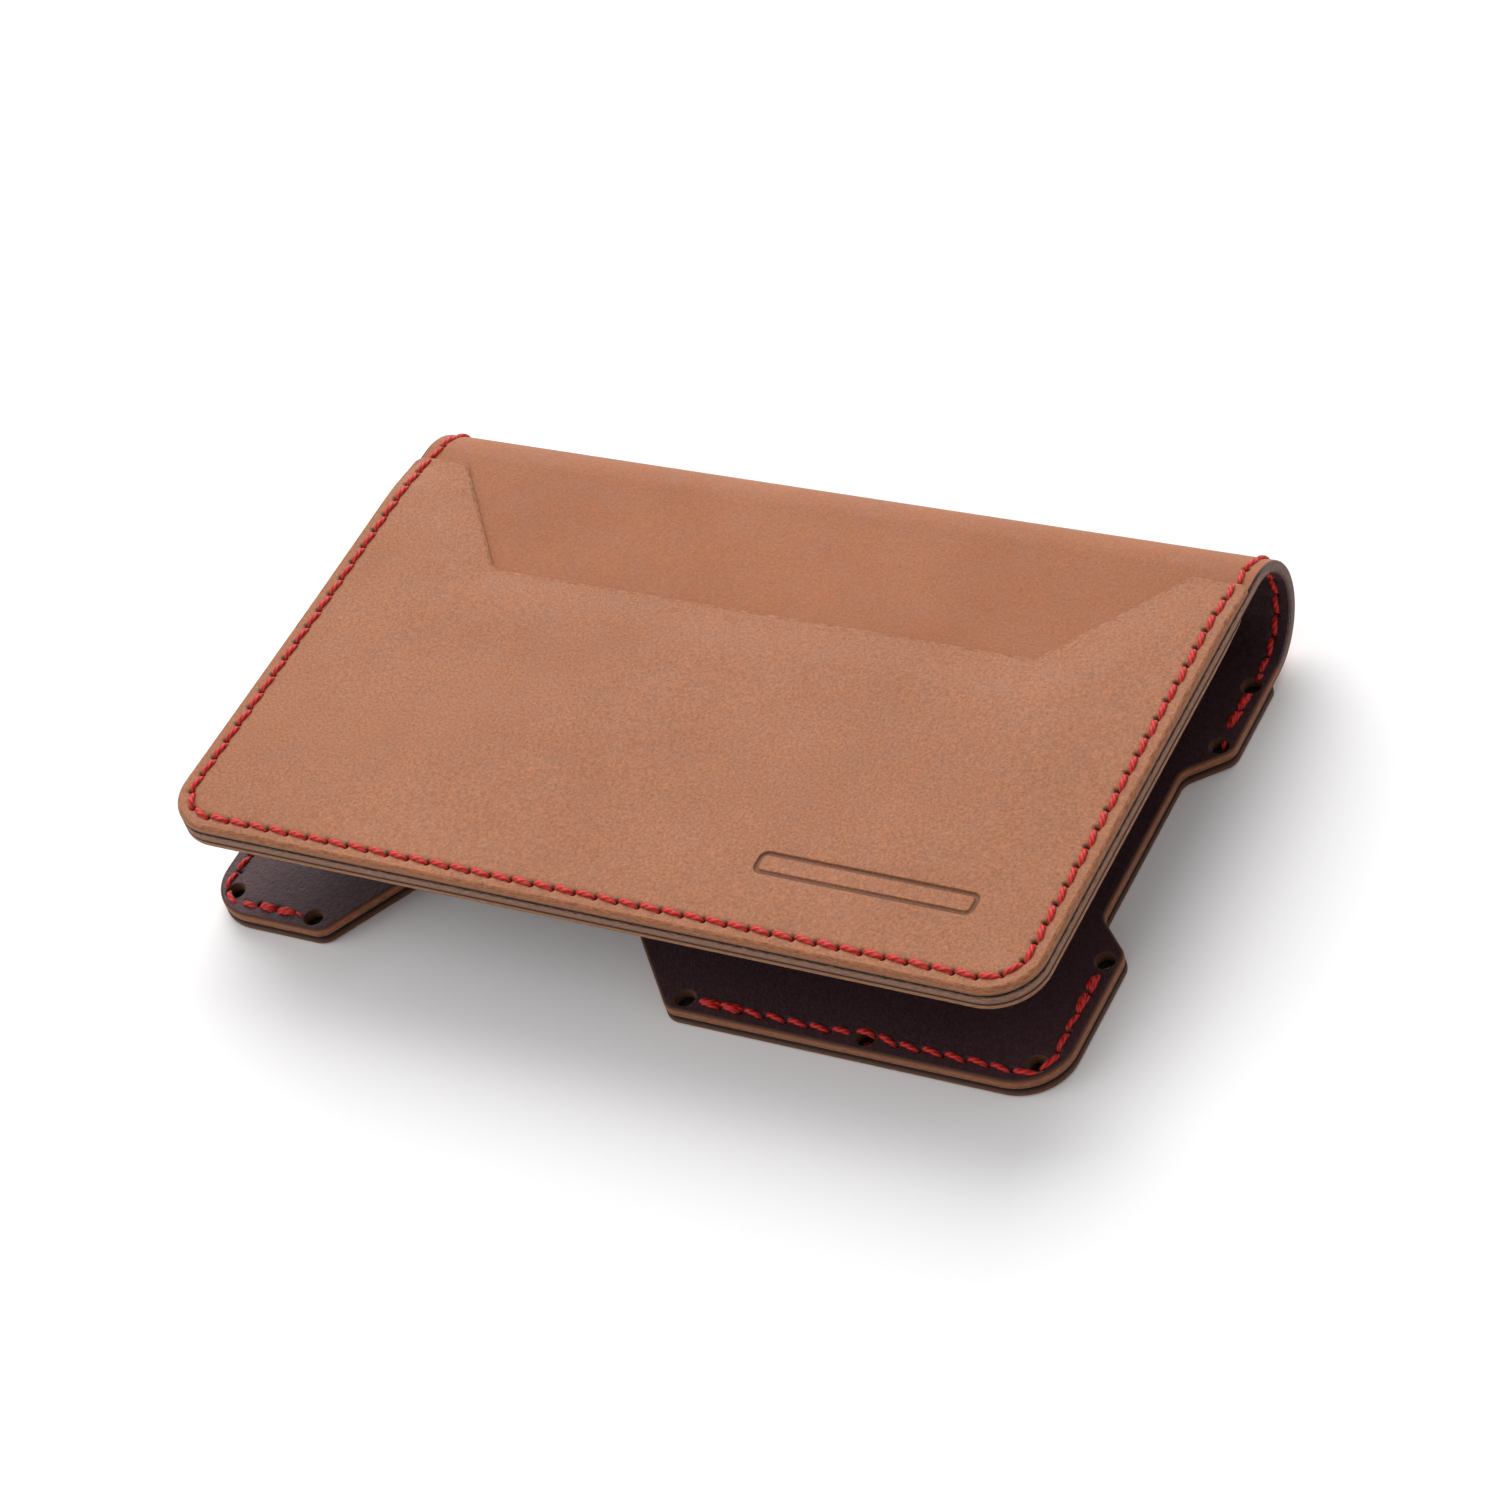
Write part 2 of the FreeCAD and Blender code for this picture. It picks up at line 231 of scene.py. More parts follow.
class HolderSeams(bpy.types.PropertyGroup):
    thread_width: length(
        "Thread width", "Width of the sewing thread as it lies on the leather", 0.7, 0.3, 1.2)
    thread_height: length("Thread height", "Height of the pulled-flat thread", 0.5, 0.2, 1.0)
    slant: bpy.props.FloatProperty(
        name="Stitch slant", description="Angle of each stitch to the seam line",
        default=math.radians(10.0), min=0.0, max=math.radians(30.0), subtype="ANGLE")
    pit_depth: length(
        "Needle hole depth", "How far the leather is drawn in at each needle hole", 0.42, 0.0, 0.6)
    groove_depth: length(
        "Seam groove", "How far the thread presses the leather down along the seam", 0.1, 0.0, 0.3)


class HolderColours(bpy.types.PropertyGroup):
    face: tint("Leather face", "Tan of the outer face", "9A6344")
    inside: tint("Leather inside", "Dark brown of the dyed inner face", "2D1B1E")
    thread: tint("Thread", "Red of the sewing thread", "C6221C")


class HolderStudio(bpy.types.PropertyGroup):
    key_power: bpy.props.FloatProperty(
        name="Key light", description="Power of the large soft light", default=18.5, min=0.0, unit="POWER")
    fill_power: bpy.props.FloatProperty(
        name="Fill light", description="Power of the soft light from the left", default=4.0, min=0.0,
        unit="POWER")
    sky: bpy.props.FloatProperty(
        name="Sky", description="Strength of the even light from all round", default=0.58, min=0.0)
    floor: tint("Floor", "Colour of the floor", "F7F6F6")
    lens: bpy.props.FloatProperty(
        name="Lens", description="Focal length of the camera in millimetres", default=108.4, min=10.0)


# ---- materials


def add_node(tree, kind, inputs=None, settings=None, stops=None, output=0):
    """Adds one node, sets its options and sockets, links the sockets given, and returns an output."""
    node = tree.nodes.new("ShaderNode" + kind)
    for name, value in (settings or {}).items():
        setattr(node, name, value)
    for key, value in (inputs or {}).items():
        if isinstance(value, bpy.types.NodeSocket):
            tree.links.new(value, node.inputs[key])
        else:
            node.inputs[key].default_value = value
    for index, (position, colour) in enumerate(stops or ()):
        elements = node.color_ramp.elements
        element = elements[index] if index < 2 else elements.new(position)
        element.position = position
        element.color = colour
    return node.outputs[output] if node.outputs else None


def new_material(name):
    """Empty material; returns it, add_node for its tree, and its coordinates in millimetres."""
    material = bpy.data.materials.new(name)
    material.use_nodes = True
    tree = material.node_tree
    tree.nodes.clear()
    add = functools.partial(add_node, tree)
    place = add("TexCoord", output="Object")
    return material, add, add("Mapping", {"Vector": place, "Scale": (1000, 1000, 1000)})


def finish_material(add, looks, height, distance, strength):
    """Adds the shader, bumped by a height, and sends it to the output."""
    bump = add("Bump", {"Height": height, "Distance": distance, "Strength": strength})
    surface = add("BsdfPrincipled", {**looks, "Normal": bump})
    add("OutputMaterial", {"Surface": surface})


def tinted(colour, factor):
    return tuple(min(1.0, c * f) for c, f in zip(colour[:3], factor)) + (1.0,)


def oiled_nubuck(name, face, nap_depth):
    """Oiled nubuck: cowhide buffed on the grain side and waxed. Matte, with a short nap that makes
    fine light and dark specks, soft clouds where the wax sits, painted shade in needle holes and pressed
    lines, and a darker halo of leather round the needle holes."""
    material, add, place = new_material(name)
    clouds, patches, nap = (
        add("TexNoise", {"Vector": place, "Scale": 1 / width, "Detail": detail, "Roughness": roughness})
        for width, detail, roughness in ((17.0, 4.0, 0.55), (3.4, 5.0, 0.6), (0.31, 3.0, 0.7)))
    pores = add("TexVoronoi", {"Vector": place, "Scale": 1 / 0.55, "Randomness": 1.0}, {"feature": "F1"})
    base = add("ValToRGB", {"Fac": clouds}, stops=(
        (0.32, tinted(face, (0.95, 0.92, 0.88))), (0.68, tinted(face, (1.06, 1.08, 1.12)))))
    patchy, specks, gloss = (
        add("MapRange", {"Value": value, "From Min": 0.3, "From Max": 0.7, "To Min": low, "To Max": high})
        for value, low, high in (
            (patches, 0.94, 1.06), (nap, 1 - nap_depth, 1 + nap_depth), (patches, 0.58, 0.72)))
    shade = add("Math", {0: patchy, 1: specks}, {"operation": "MULTIPLY"})
    mottled = add("VectorMath", {0: base, "Scale": shade}, {"operation": "SCALE"})
    pit = add("Attribute", settings={"attribute_name": "pit"}, output="Fac")
    # pit darkens the colour: painted shade in needle holes and pressed lines, and a darker halo of leather
    # along the seams
    pit_shade_and_halo = add("Mix", {0: pit, 6: mottled, 7: srgb("2A140C")}, {"data_type": "RGBA"}, output=2)
    pebble = add("Math", {0: pores, 1: 0.35, 2: nap}, {"operation": "MULTIPLY_ADD"})
    rolling = add("Math", {0: patches, 1: 1.6, 2: pebble}, {"operation": "MULTIPLY_ADD"})
    finish_material(add, {
        "Base Color": pit_shade_and_halo, "Roughness": gloss, "IOR": 1.45, "Specular IOR Level": 0.3,
        "Sheen Weight": 0.06, "Sheen Roughness": 0.45, "Sheen Tint": srgb("E8C9B4")},
        rolling, 0.07 * MM, 0.8)
    return material


def dyed_inside(name, inside):
    """Drum-dyed, pigmented inner face: dark brown, with a low sheen that turns grey where light
    grazes it, and a small pebbled grain about half a millimetre across."""
    material, add, place = new_material(name)
    clouds, mottle, fuzz = (
        add("TexNoise", {"Vector": place, "Scale": 1 / width, "Detail": detail, "Roughness": roughness})
        for width, detail, roughness in ((9.0, 3.0, 0.5), (0.8, 4.0, 0.65), (0.24, 2.0, 0.7)))
    pebbles = add("TexVoronoi", {"Vector": place, "Scale": 1 / 0.5, "Smoothness": 0.4},
                  {"feature": "SMOOTH_F1"})
    base = add("ValToRGB", {"Fac": mottle}, stops=(
        (0.3, tinted(inside, (0.5, 0.42, 0.45))), (0.72, tinted(inside, (1.6, 1.5, 1.55)))))
    pit = add("Attribute", settings={"attribute_name": "pit"}, output="Fac")
    # pit darkens the colour: painted shade in the needle holes, and a darker halo of leather along the seams
    pit_shade_and_halo = add("Mix", {0: pit, 6: base, 7: srgb("0C0606")}, {"data_type": "RGBA"}, output=2)
    specks, gloss = (
        add("MapRange", {"Value": value, "From Min": 0.3, "From Max": 0.7, "To Min": low, "To Max": high})
        for value, low, high in ((fuzz, 0.2, 1.9), (clouds, 0.5, 0.6)))
    fuzzy = add("VectorMath", {0: pit_shade_and_halo, "Scale": specks}, {"operation": "SCALE"})
    grain = add("Math", {0: pebbles, 1: 0.55, 2: fuzz}, {"operation": "MULTIPLY_ADD"})
    finish_material(add, {
        "Base Color": fuzzy, "Roughness": gloss, "IOR": 1.48, "Specular IOR Level": 0.62,
        "Specular Tint": srgb("F0CCD2"), "Sheen Weight": 0.3, "Sheen Roughness": 0.5,
        "Sheen Tint": srgb("B48488")}, grain, 0.1 * MM, 0.9)
    return material


def cut_edge(name, stops, bent=None):
    """Knife-cut leather edge, not painted: packed fibres in fine streaks along the sheet, from the
    colour of one face to that of the other. The piece's through attribute is 0 at the outer face
    and 1 at the inner one. Past the fold line the edge turns to the bent colour, if there is one."""
    material, add, place = new_material(name)
    through, pit = (add("Attribute", settings={"attribute_name": layer}, output="Fac")
                    for layer in ("through", "pit"))
    streaked = add("Mapping", {"Vector": place, "Scale": (0.5, 0.5, 3.6)})
    streaks, fuzz = (
        add("TexNoise", {"Vector": vector, "Scale": 1 / width, "Detail": detail, "Roughness": roughness})
        for vector, width, detail, roughness in ((streaked, 0.45, 4.0, 0.7), (place, 0.22, 2.0, 0.6)))
    wander = add("Math", {0: streaks, 1: 0.34, 2: through}, {"operation": "MULTIPLY_ADD"})
    level_in = add("Math", {0: wander, 1: 0.17}, {"operation": "SUBTRACT"})
    bands = add("ValToRGB", {"Fac": level_in}, stops=stops)
    fibre_shade = add("MapRange", {
        "Value": streaks, "From Min": 0.3, "From Max": 0.7, "To Min": 0.45, "To Max": 1.4})
    # deep: painted shade on the walls of screw holes, from the pit attribute
    deep = add("MapRange", {"Value": pit, "To Min": 1.0, "To Max": 0.12})
    shade = add("Math", {0: fibre_shade, 1: deep}, {"operation": "MULTIPLY"})
    colour = add("VectorMath", {0: bands, "Scale": shade}, {"operation": "SCALE"})
    if bent:
        along = add("SeparateXYZ", {"Vector": place}, output="Y")
        past = add("MapRange", {
            "Value": along, "From Min": FOLD_Y - 1.0, "From Max": FOLD_Y + 3.5,
            "To Min": 0.0, "To Max": 0.85}, {"interpolation_type": "SMOOTHSTEP"})
        worn = add("VectorMath", {0: bent[:3], "Scale": shade}, {"operation": "SCALE"})
        colour = add("Mix", {0: past, 6: colour, 7: worn}, {"data_type": "RGBA"}, output=2)
    height = add("Math", {0: streaks, 1: fuzz}, {"operation": "ADD"})
    finish_material(add, {
        "Base Color": colour, "Roughness": 0.78, "IOR": 1.45, "Specular IOR Level": 0.25,
        "Sheen Weight": 0.15, "Sheen Roughness": 0.5, "Sheen Tint": srgb("E6CDB8")},
        height, 0.09 * MM, 0.7)
    return material


def twisted_thread(name, colour):
    """Bonded polyester sewing thread of three plies. Slightly glossy, with painted shade in dark lines
    between the plies and a painted highlight, paler and pinker, on the ply crowns, drawn 0.95 mm apart along
    the thread so that they show. The ply attribute holds the direction round the thread in x and y, and
    millimetres along it in z."""
    material, add, place = new_material(name)
    ply = add("Attribute", settings={"attribute_name": "ply"}, output="Vector")
    parts = add("SeparateXYZ", {"Vector": ply}).node.outputs
    angle = add("Math", {0: parts["Y"], 1: parts["X"]}, {"operation": "ARCTAN2"})
    turns = add("Math", {0: parts["Z"], 1: 2 * math.pi / 0.95}, {"operation": "MULTIPLY"})
    phase = add("Math", {0: angle, 1: 3.0, 2: turns}, {"operation": "MULTIPLY_ADD"})
    wave = add("Math", {0: phase}, {"operation": "SINE"})
    fibres = add("TexNoise", {"Vector": place, "Scale": 1 / 0.12, "Detail": 2.0, "Roughness": 0.6})
    bands = add("Math", {0: fibres, 1: 0.5, 2: wave}, {"operation": "MULTIPLY_ADD"})
    # dark stop: painted shade between the plies; pale stop: painted highlight on the ply crowns
    base = add("ValToRGB", {"Fac": bands}, stops=(
        (0.0, tinted(colour, (0.62, 0.5, 0.5))), (0.3, colour), (1.0, tinted(colour, (1.18, 1.5, 1.4)))))
    finish_material(add, {
        "Base Color": base, "Roughness": 0.55, "IOR": 1.5, "Specular IOR Level": 0.35,
        "Sheen Weight": 0.1, "Sheen Roughness": 0.4, "Sheen Tint": srgb("FF8A7C")},
        bands, 0.05 * MM, 0.6)
    return material


def studio_floor(name, colour):
    """Matte seamless paper: even and pale, with a fibre too fine to see except as a faint softness."""
    material, add, place = new_material(name)
    fibre = add("TexNoise", {"Vector": place, "Scale": 1 / 1.5, "Detail": 2.0, "Roughness": 0.5})
    base = add("ValToRGB", {"Fac": fibre}, stops=(
        (0.3, tinted(colour, (0.995, 0.995, 0.995))), (0.7, colour)))
    finish_material(add, {"Base Color": base, "Roughness": 0.8, "Specular IOR Level": 0.2},
                    fibre, 0.01 * MM, 0.1)
    return material


# Colours of each cut edge from the outer face in: hex codes, or factors of the face's own colour
CUT_EDGES = {
    "pocket_cut_edge": (
        (0.0, (1.0, 1.0, 1.0)), (0.5, (1.02, 1.0, 0.98)), (0.74, "7A5541"), (0.92, "2C1A15")),
    "body_cut_edge": (
        (0.06, "2A1A16"), (0.24, "86604C"), (0.6, "8A6652"), (0.84, "664A42"), (0.97, "1E1414")),
    "back_cut_edge": ((0.02, "4A2C1E"), (0.25, "86533A"), (0.7, "935C40"), (1.0, "4A3026")),
    "lining_cut_edge": ((0.05, "2A1C1A"), (0.25, "8E6448"), (0.8, "96684A"), (1.0, "4A3024")),
    "panel_cut_edge": ((0.0, "7A4F36"), (0.45, "5E3A29"), (0.75, "3A2219"), (1.0, "160C0A")),
}


def material_for(finish):
    """The material of a finish, made the first time it is asked for."""
    if finish in bpy.data.materials:
        return bpy.data.materials[finish]
    colours = bpy.context.scene.holder_colours
    face = tuple(colours.face)
    if finish in CUT_EDGES:
        stops = [(position, srgb(colour) if isinstance(colour, str) else tinted(face, colour))
                 for position, colour in CUT_EDGES[finish]]
        return cut_edge(finish, stops, srgb("66524F") if finish == "body_cut_edge" else None)
    if finish == "oiled_nubuck_pocket":
        return oiled_nubuck(finish, face, 0.32)
    if finish == "oiled_nubuck_body":
        return oiled_nubuck(finish, tinted(face, (0.95, 0.84, 0.7)), 0.2)
    if finish == "dyed_inside":
        return dyed_inside(finish, tuple(colours.inside))
    return twisted_thread(finish, tuple(colours.thread))


# ---- leather


def new_sheet():
    """Empty mesh with the layers that leather uses: how far a point is pushed in, how dark it is drawn
    there (painted shade in needle holes, screw holes and pressed lines, and a darker halo of leather round
    needle holes), and where it lies through the thickness."""
    bm = bmesh.new()
    for layer in ("sunk", "pit", "through"):
        bm.verts.layers.float.new(layer)
    return bm


def of_kind(items, kind):
    return [item for item in items if isinstance(item, kind)]


def bevel(bm, geom, offset, segments, affect="EDGES", material=-1):
    bmesh.ops.bevel(bm, geom=geom, offset=offset, offset_type="OFFSET", segments=segments, profile=0.5,
                    affect=affect, material=material, clamp_overlap=False)


def rounded_outline(bm, corners, z):
    """One face inside a polygon of (x, y, radius) corners, each rounded by its radius."""
    verts = [bm.verts.new((x, y, z)) for x, y, radius in corners]
    face = bm.faces.new(verts)
    face.normal_update()
    if face.normal.z < 0:
        face.normal_flip()
    for index, (x, y, radius) in enumerate(corners):
        here = Vector((x, y))
        before = Vector(corners[index - 1][:2]) - here
        after = Vector(corners[(index + 1) % len(corners)][:2]) - here
        reach = radius / math.tan(before.angle(after) / 2)
        if reach > 1e-4:
            bevel(bm, [verts[index]], reach, 14 if radius > 3 else 8, "VERTICES")
    return bm.faces[:]


def cut_cells(bm, wanted, step):
    """Cuts the wanted faces along a square net of lines, so that they can take a gentle shape."""
    for axis in (0, 1):
        places = [vert.co[axis] for vert in bm.verts]
        first, last = min(places), max(places)
        normal = Vector((0, 0, 0))
        normal[axis] = 1.0
        for count in range(1, math.ceil((last - first) / step)):
            faces = [face for face in bm.faces if wanted(face)]
            edges = {edge for face in faces for edge in face.edges}
            verts = {vert for face in faces for vert in face.verts}
            bmesh.ops.bisect_plane(bm, geom=[*verts, *edges, *faces], dist=1e-4,
                                   plane_co=normal * (first + count * step), plane_no=normal)


def screw_hole(bm, x, y, low, high):
    """Wall of a punched hole with slightly rounded rims; returns its two rim loops."""
    profile = ((HOLE_RIM_R, 0.0), (0.3 * HOLE_RIM_R, 0.3 * HOLE_RIM_R), (0.0, HOLE_RIM_R))
    rings = [(HOLE_R + out, high - down) for out, down in profile]
    rings += [(HOLE_R + out, low + down) for out, down in reversed(profile)]
    made = bmesh.ops.create_circle(bm, segments=HOLE_SIDES, radius=rings[0][0],
                                   matrix=Matrix.Translation((x, y, high)))
    pit = bm.verts.layers.float["pit"]
    loop = list({edge for vert in made["verts"] for edge in vert.link_edges})
    rims = [loop]
    for (radius, z), (before, _) in zip(rings[1:], rings):
        out = bmesh.ops.extrude_edge_only(bm, edges=loop)["geom"]
        verts = of_kind(out, bmesh.types.BMVert)
        loop = [edge for edge in of_kind(out, bmesh.types.BMEdge)
                if all(vert in verts for vert in edge.verts)]
        for vert in verts:
            # pit on the hole wall is painted shade, darker deeper in the hole
            vert[pit] = 0.1 if radius > HOLE_R else 0.55
            spread = radius / before
            vert.co = (x + (vert.co.x - x) * spread, y + (vert.co.y - y) * spread, z)
    for face in bm.faces:
        if face.material_index == 0 and all(
                math.hypot(vert.co.x - x, vert.co.y - y) < HOLE_R + 2 * HOLE_RIM_R for vert in face.verts):
            face.material_index = CUT_EDGE
    rims.append(loop)
    return rims


class SeamPath:
    """The line that a seam follows: a start point, a heading in degrees, and runs of (length, turn)."""

    def __init__(self, start, heading, runs):
        self.runs = []
        self.length = sum(length for length, turn in runs)
        point, angle = Vector(start), math.radians(heading)
        for length, turn in runs:
            self.runs.append((point, angle, length, math.radians(turn)))
            point, angle = self.advance(point, angle, length, math.radians(turn))

    @staticmethod
    def advance(point, angle, distance, turn):
        if abs(turn) < 1e-9:
            return point + Vector((math.cos(angle), math.sin(angle))) * distance, angle
        radius = distance / turn
        start = Vector((-math.sin(angle), math.cos(angle))) * radius
        end = Vector((-math.sin(angle + turn), math.cos(angle + turn))) * radius
        return point + start - end, angle + turn

    def at(self, distance, across=0.0):
        """Point at a distance along the seam, moved across it to the left."""
        for run, (point, angle, length, turn) in enumerate(self.runs):
            if distance <= length or run == len(self.runs) - 1:
                here, heading = self.advance(point, angle, distance, turn * distance / length)
                return here + Vector((-math.sin(heading), math.cos(heading))) * across
            distance -= length


def tab_path(side, start_x):
    """Seam of a mouth corner of the back leaf, from the mouth notch to below the side notch."""
    corner_start = side * (SEAM_X - SEAM_CORNER_R)
    quarter = SEAM_CORNER_R * math.pi / 2
    rise = TAB_SEAM_TOP_Y - (SEAM_Y + SEAM_CORNER_R)
    return SeamPath((start_x, SEAM_Y), 0 if side > 0 else 180,
                    [(abs(corner_start - start_x), 0), (quarter, side * 90), (rise, 0)])


def front_path():
    """Seam of the front leaf: down the left side, along the mouth and up the right side."""
    quarter = SEAM_CORNER_R * math.pi / 2
    side = FOLD_Y + PITCH / 2 - (SEAM_Y + SEAM_CORNER_R)
    return SeamPath((-SEAM_X, FOLD_Y + PITCH / 2), -90,
                    [(side, 0), (quarter, 90), (2 * (SEAM_X - SEAM_CORNER_R), 0), (quarter, 90), (side, 0)])


class Seam:
    """A path with its needle holes, one pitch apart.

    Each detour is (distance, shift): there the thread passes beside a screw hole, not over it.
    """

    def __init__(self, path, count, detours=(), turned=NEVER):
        self.path, self.count, self.detours, self.turned = path, count, detours, turned
        self.holes = [index * (path.length / count) for index in range(count + 1)]

    def detour(self, along):
        return sum(shift * math.exp(-((along - centre) / DETOUR_REACH) ** 2)
                   for centre, shift in self.detours)

    def lean(self, along):
        """Side that the stitches slant to, from -1 to 1: it changes where the seam has turned."""
        return 2 * smooth_step((along - self.turned) / SLANT_TURN_LENGTH) - 1


FRONT_SEAM = Seam(front_path(), FRONT_STITCHES, turned=FRONT_SLANT_TURN)
RIGHT_TAB_SEAM = Seam(tab_path(1, RIGHT_SEAM_START_X), 20,
                      ((MOUTH_HOLES_X[2] - RIGHT_SEAM_START_X, 0.6), (RIGHT_CORNER_HOLE, -0.8)))
LEFT_TAB_SEAM = Seam(tab_path(-1, LEFT_SEAM_START_X), 9, ((LEFT_CORNER_HOLE, 0.85),))


def end_seam(side):
    """Short straight seam where the long seam runs off the spine onto the back leaf: a whole stitch, a
    short one that ends at the rim of a screw hole, a gap over the hole, and two tacks."""
    length = SEAM_END_BACK + PITCH / 2
    path = SeamPath((side * SEAM_X, FOLD_Y + PITCH / 2), -90, [(length, 0)])
    rim = HOLES_BACK_FROM_FOLD[0] + PITCH / 2 - HOLE_R
    seam = Seam(path, 5, ((rim + 0.3, side * 0.4),))
    seam.holes = [0.0, PITCH, rim + 0.15, TACK_START_BACK + PITCH / 2, length - PITCH, length]
    return seam


END_SEAMS = {side: end_seam(side) for side in (-1, 1)}


def hole_dip(along, across, side):
    """How strongly a needle hole draws the leather in, at a distance from the hole. The hole is
    longer across the seam, and shows on one side of the thread."""
    spread = (along / PIT_LENGTH) ** 2 + ((across - PIT_SHIFT * side) / PIT_WIDTH) ** 2
    return math.exp(-spread ** 1.3)


def open_edges(faces):
    return [edge for edge in {edge for face in faces for edge in face.edges} if edge.is_boundary]


def seam_band(bm, seam, first, last, z, index, pit_depth, groove_depth):
    """Fine grid of leather along a seam between two distances; returns the edges round it."""
    columns = {first, first + BAND_RIM, last - BAND_RIM, last}
    for hole in seam.holes:
        columns |= {hole + step for step in BAND_COLUMNS if first + 0.2 < hole + step < last - 0.2}
    columns = sorted(columns)
    grid = bmesh.ops.create_grid(bm, x_segments=len(columns) - 1, y_segments=len(BAND_ROWS) - 1, size=1.0)
    sunk, pit = bm.verts.layers.float["sunk"], bm.verts.layers.float["pit"]
    for vert in grid["verts"]:
        along = columns[round((vert.co.x + 1) / 2 * (len(columns) - 1))]
        across = BAND_ROWS[round((vert.co.y + 1) / 2 * (len(BAND_ROWS) - 1))]
        point = seam.path.at(along, across)
        vert.co = (point.x, point.y, z)
        ends = smooth_step((along - first - BAND_RIM) / 0.5) * smooth_step((last - BAND_RIM - along) / 0.5)
        ends *= smooth_step((BAND_ROWS[-2] - abs(across)) / 0.3)
        dip = max(hole_dip(along - hole, across, seam.lean(hole)) for hole in seam.holes) * ends
        groove = math.exp(-(across / GROOVE_WIDTH) ** 2) * ends
        vert[sunk] = dip * pit_depth + groove * groove_depth
        # pit: painted shade in each needle hole, and a darker halo of leather round it along the seam
        near = min(abs(along - hole) for hole in seam.holes)
        halo = math.exp(-(near / HALO_LENGTH) ** 2 - (across / HALO_WIDTH) ** 2)
        vert[pit] = min(1.0, dip + 0.3 * halo * ends)
    faces = {face for vert in grid["verts"] for face in vert.link_faces}
    for face in faces:
        face.material_index = index
    return open_edges(faces)


def plain_mark(bm, z, index):
    """Blank debossed bar with round ends: two thin pressed lines round a flat middle."""
    (left, low), (right, high) = MARK_LOW, MARK_HIGH
    before = set(bm.faces)
    corners = ((left, low), (right, low), (right, high), (left, high))
    rounded_outline(bm, [(x, y, MARK_CORNER_R) for x, y in corners], z)
    face = [face for face in bm.faces if face not in before]
    sunk, pit = bm.verts.layers.float["sunk"], bm.verts.layers.float["pit"]
    for width, depth, dark in MARK_STEPS:
        inset = bmesh.ops.inset_region(bm, faces=face, thickness=width, depth=0.0, use_boundary=True,
                                       use_even_offset=True)
        for item in inset["faces"] + face:
            item.material_index = index
        for vert in {vert for item in face for vert in item.verts}:
            vert[sunk] = depth
            # darkness: pressed leather darker, and painted shade in the groove
            vert[pit] = dark
    return open_edges(face for face in bm.faces if face not in before)


def leather_sheet(corners, low, high, rounding, cell, outer_up, surfaces=None, holes=(), upper=(),
                  lower=(), mark=False, upper_round=None, square_end=NEVER):
    """Closed sheet of leather between two heights, with rounded cut edges, screw holes and seams.

    upper and lower list the seams of the two faces as (seam, first, last, pit depth, groove depth).
    The end at square_end is left square, to meet the spine. At the end the sheet is moved between
    two surfaces, if they are given, and what its seams push in is pressed in.
    """
    bm = new_sheet()
    out = bmesh.ops.extrude_face_region(bm, geom=rounded_outline(bm, corners, low))["geom"]
    bmesh.ops.translate(bm, vec=(0, 0, high - low), verts=of_kind(out, bmesh.types.BMVert))
    for z, radius in ((high, upper_round or rounding), (low, rounding)):
        rim = [edge for edge in bm.edges if all(abs(vert.co.z - z) < 1e-5 for vert in edge.verts)
               and any(vert.co.y < square_end - 1e-4 for vert in edge.verts)]
        bevel(bm, rim, radius, 4)
    bmesh.ops.recalc_face_normals(bm, faces=bm.faces)
    for face in bm.faces:
        face.material_index = CUT_EDGE
    cut_cells(bm, lambda face: True, cell)
    caps = [face for face in bm.faces if abs(face.normal.z) > 0.9999
            and all(min(abs(vert.co.z - low), abs(vert.co.z - high)) < 1e-4 for vert in face.verts)]
    bmesh.ops.delete(bm, geom=caps, context="FACES")
    tops, bottoms = ([edge for edge in bm.edges if edge.is_boundary and abs(edge.verts[0].co.z - z) < 1e-4]
                     for z in (high, low))
    for x, y in holes:
        upper_rim, lower_rim = screw_hole(bm, x, y, low, high)
        tops += upper_rim
        bottoms += lower_rim
    upper_index, lower_index = (OUTER_FACE, INNER_FACE) if outer_up else (INNER_FACE, OUTER_FACE)
    for bands, edges, z, index in ((upper, tops, high, upper_index), (lower, bottoms, low, lower_index)):
        for seam, first, last, pit_depth, groove_depth in bands:
            edges += seam_band(bm, seam, first, last, z, index, pit_depth, groove_depth)
    if mark:
        tops += plain_mark(bm, high, upper_index)
    for edges, index in ((tops, upper_index), (bottoms, lower_index)):
        filled = bmesh.ops.triangle_fill(bm, use_beauty=True, use_dissolve=False, edges=edges,
                                         normal=(0, 0, 1))["geom"]
        for face in of_kind(filled, bmesh.types.BMFace):
            face.material_index = NEW_FACE
        cut_cells(bm, lambda face: face.material_index == NEW_FACE or len(face.verts) > MANY_SIDES, cell)
        for face in bm.faces:
            if face.material_index == NEW_FACE:
                face.material_index = index
    bmesh.ops.recalc_face_normals(bm, faces=bm.faces)
    bottom, top = surfaces or (level(low), level(high))
    sunk, through = bm.verts.layers.float["sunk"], bm.verts.layers.float["through"]
    for vert in bm.verts:
        x, y, z = vert.co
        share = (z - low) / (high - low)
        vert[through] = 1 - share if outer_up else share
        inward = -vert[sunk] if share > 0.5 else vert[sunk]
        vert.co.z = bottom(x, y) * (1 - share) + top(x, y) * share + inward
    return bm


